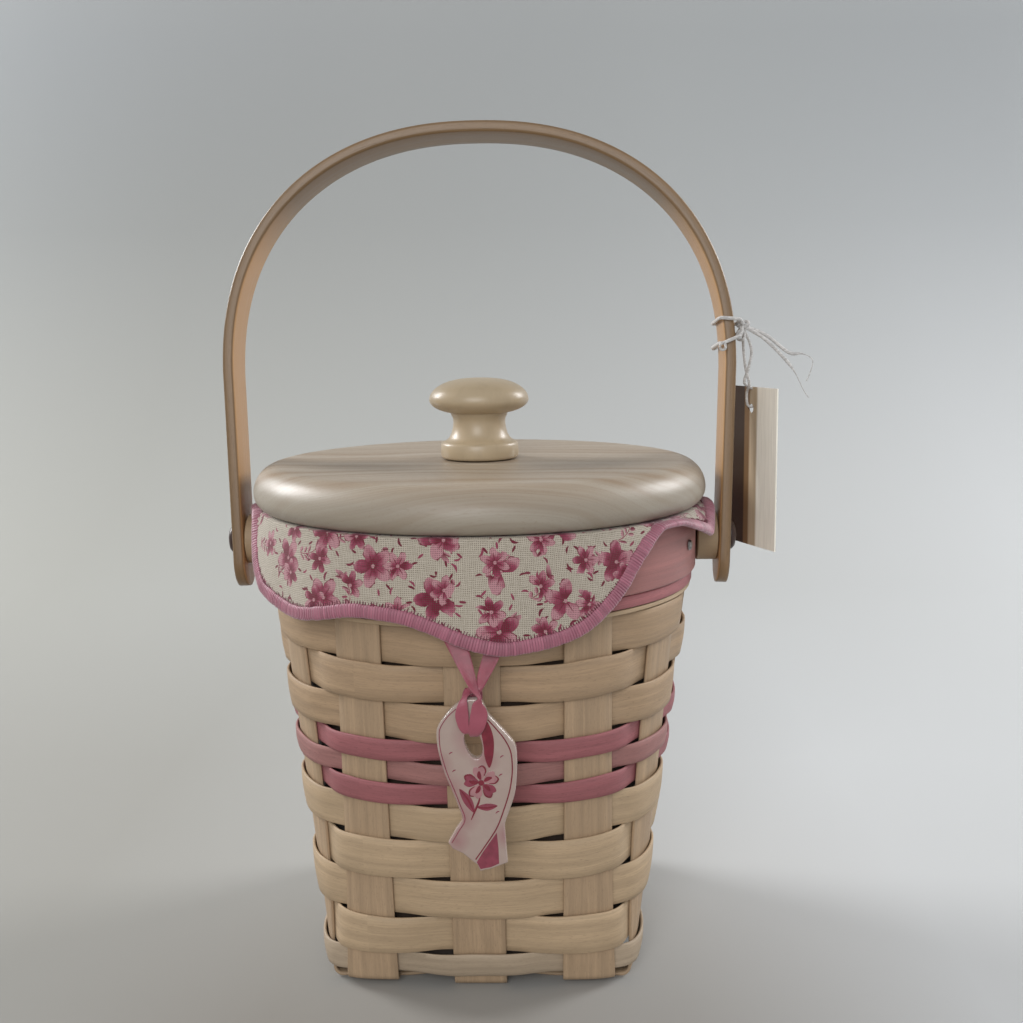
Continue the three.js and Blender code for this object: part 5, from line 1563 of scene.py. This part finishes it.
# Floor and backdrop in one sweep
def backdrop_material():
    s = Shader("backdrop", roughness=0.9)
    x, y, z = s.split(s.coords("Object"))
    beside = abs(x)
    # Painted light: the floor and the sweep are painted darker to the left and brighter to the right
    floor_tone = s.mix(s.ramp(x, -0.15, 0.15), colour(155, 154, 149), colour(190, 192, 193))
    back_tone = s.mix(s.ramp(x, -0.35, 0.4), colour(157, 157, 152), colour(185, 187, 188))
    floor_tone = s.mix(s.ramp(y, 0.15, 0.5), floor_tone, back_tone)
    # A painted shadow on the floor in front of the basket
    painted_floor_shadow = s.ramp(y, -0.16, 0.02, 0.8, 0.0) * s.ramp(beside, 0.06, 0.15, 1.0, 0.0)
    floor_tone = s.mix(painted_floor_shadow, floor_tone, colour(106, 92, 73))
    # Painted light on the wall: darker to the left and at both sides, lighter high up
    wall_tone = s.mix(s.ramp(x, -0.4, 0.5), colour(134, 136, 136), colour(151, 155, 157))
    wall_tone = s.mix(s.ramp(beside, 0.15, 0.5, 0.0, 1.0), wall_tone, colour(127, 131, 134))
    wall_tone = s.mix(s.ramp(z, 0.30, 0.75, 0.0, 0.65), wall_tone, colour(184, 186, 187))
    s.set("Base Color", s.mix(s.ramp(z, 0.0, 0.5), floor_tone, wall_tone))
    return s.material


def build_stage():
    near, far, high, bend, side = -1.6, 0.98, 2.6, 0.55, 4.0
    profile = [(near, 0.0), (far - bend, 0.0)]
    for k in range(1, 33):
        angle = k / 32 * math.pi / 2
        profile.append((far - bend + bend * math.sin(angle), bend - bend * math.cos(angle)))
    profile.append((far, high))
    vertices = [(x, y, z) for x in (-side, side) for y, z in profile]
    count = len(profile)
    faces = [(k, k + 1, count + k + 1, count + k) for k in range(count - 1)]
    floor = new_object("backdrop", vertices, faces, 180)
    floor.data.materials.append(backdrop_material())


build_stage()


# Lamps: two soft windows behind, left and right, and a weak broad one in front
def add_lamp(name, place, size, power):
    data = bpy.data.lights.new(name, "AREA")
    data.shape = "DISK"
    data.size = size
    data.energy = power
    lamp = link(bpy.data.objects.new(name, data))
    lamp.location = place
    to_basket = Vector((0, 0, 0.1)) - Vector(place)
    lamp.rotation_euler = to_basket.to_track_quat("-Z", "Y").to_euler()


add_lamp("window_left", (-1.25, 0.62, 0.8), size=0.6, power=18.0)
add_lamp("window_right", (1.25, 0.62, 0.8), size=0.6, power=14.5)
add_lamp("front", (-0.2, -1.5, 0.75), size=1.0, power=11.5)
world = bpy.data.worlds.new("world")
bpy.context.scene.world = world
world.use_nodes = True
world.node_tree.nodes["Background"].inputs["Color"].default_value = (1, 1, 1, 1)
world.node_tree.nodes["Background"].inputs["Strength"].default_value = 0.5
bpy.context.scene.view_settings.view_transform = "Standard"
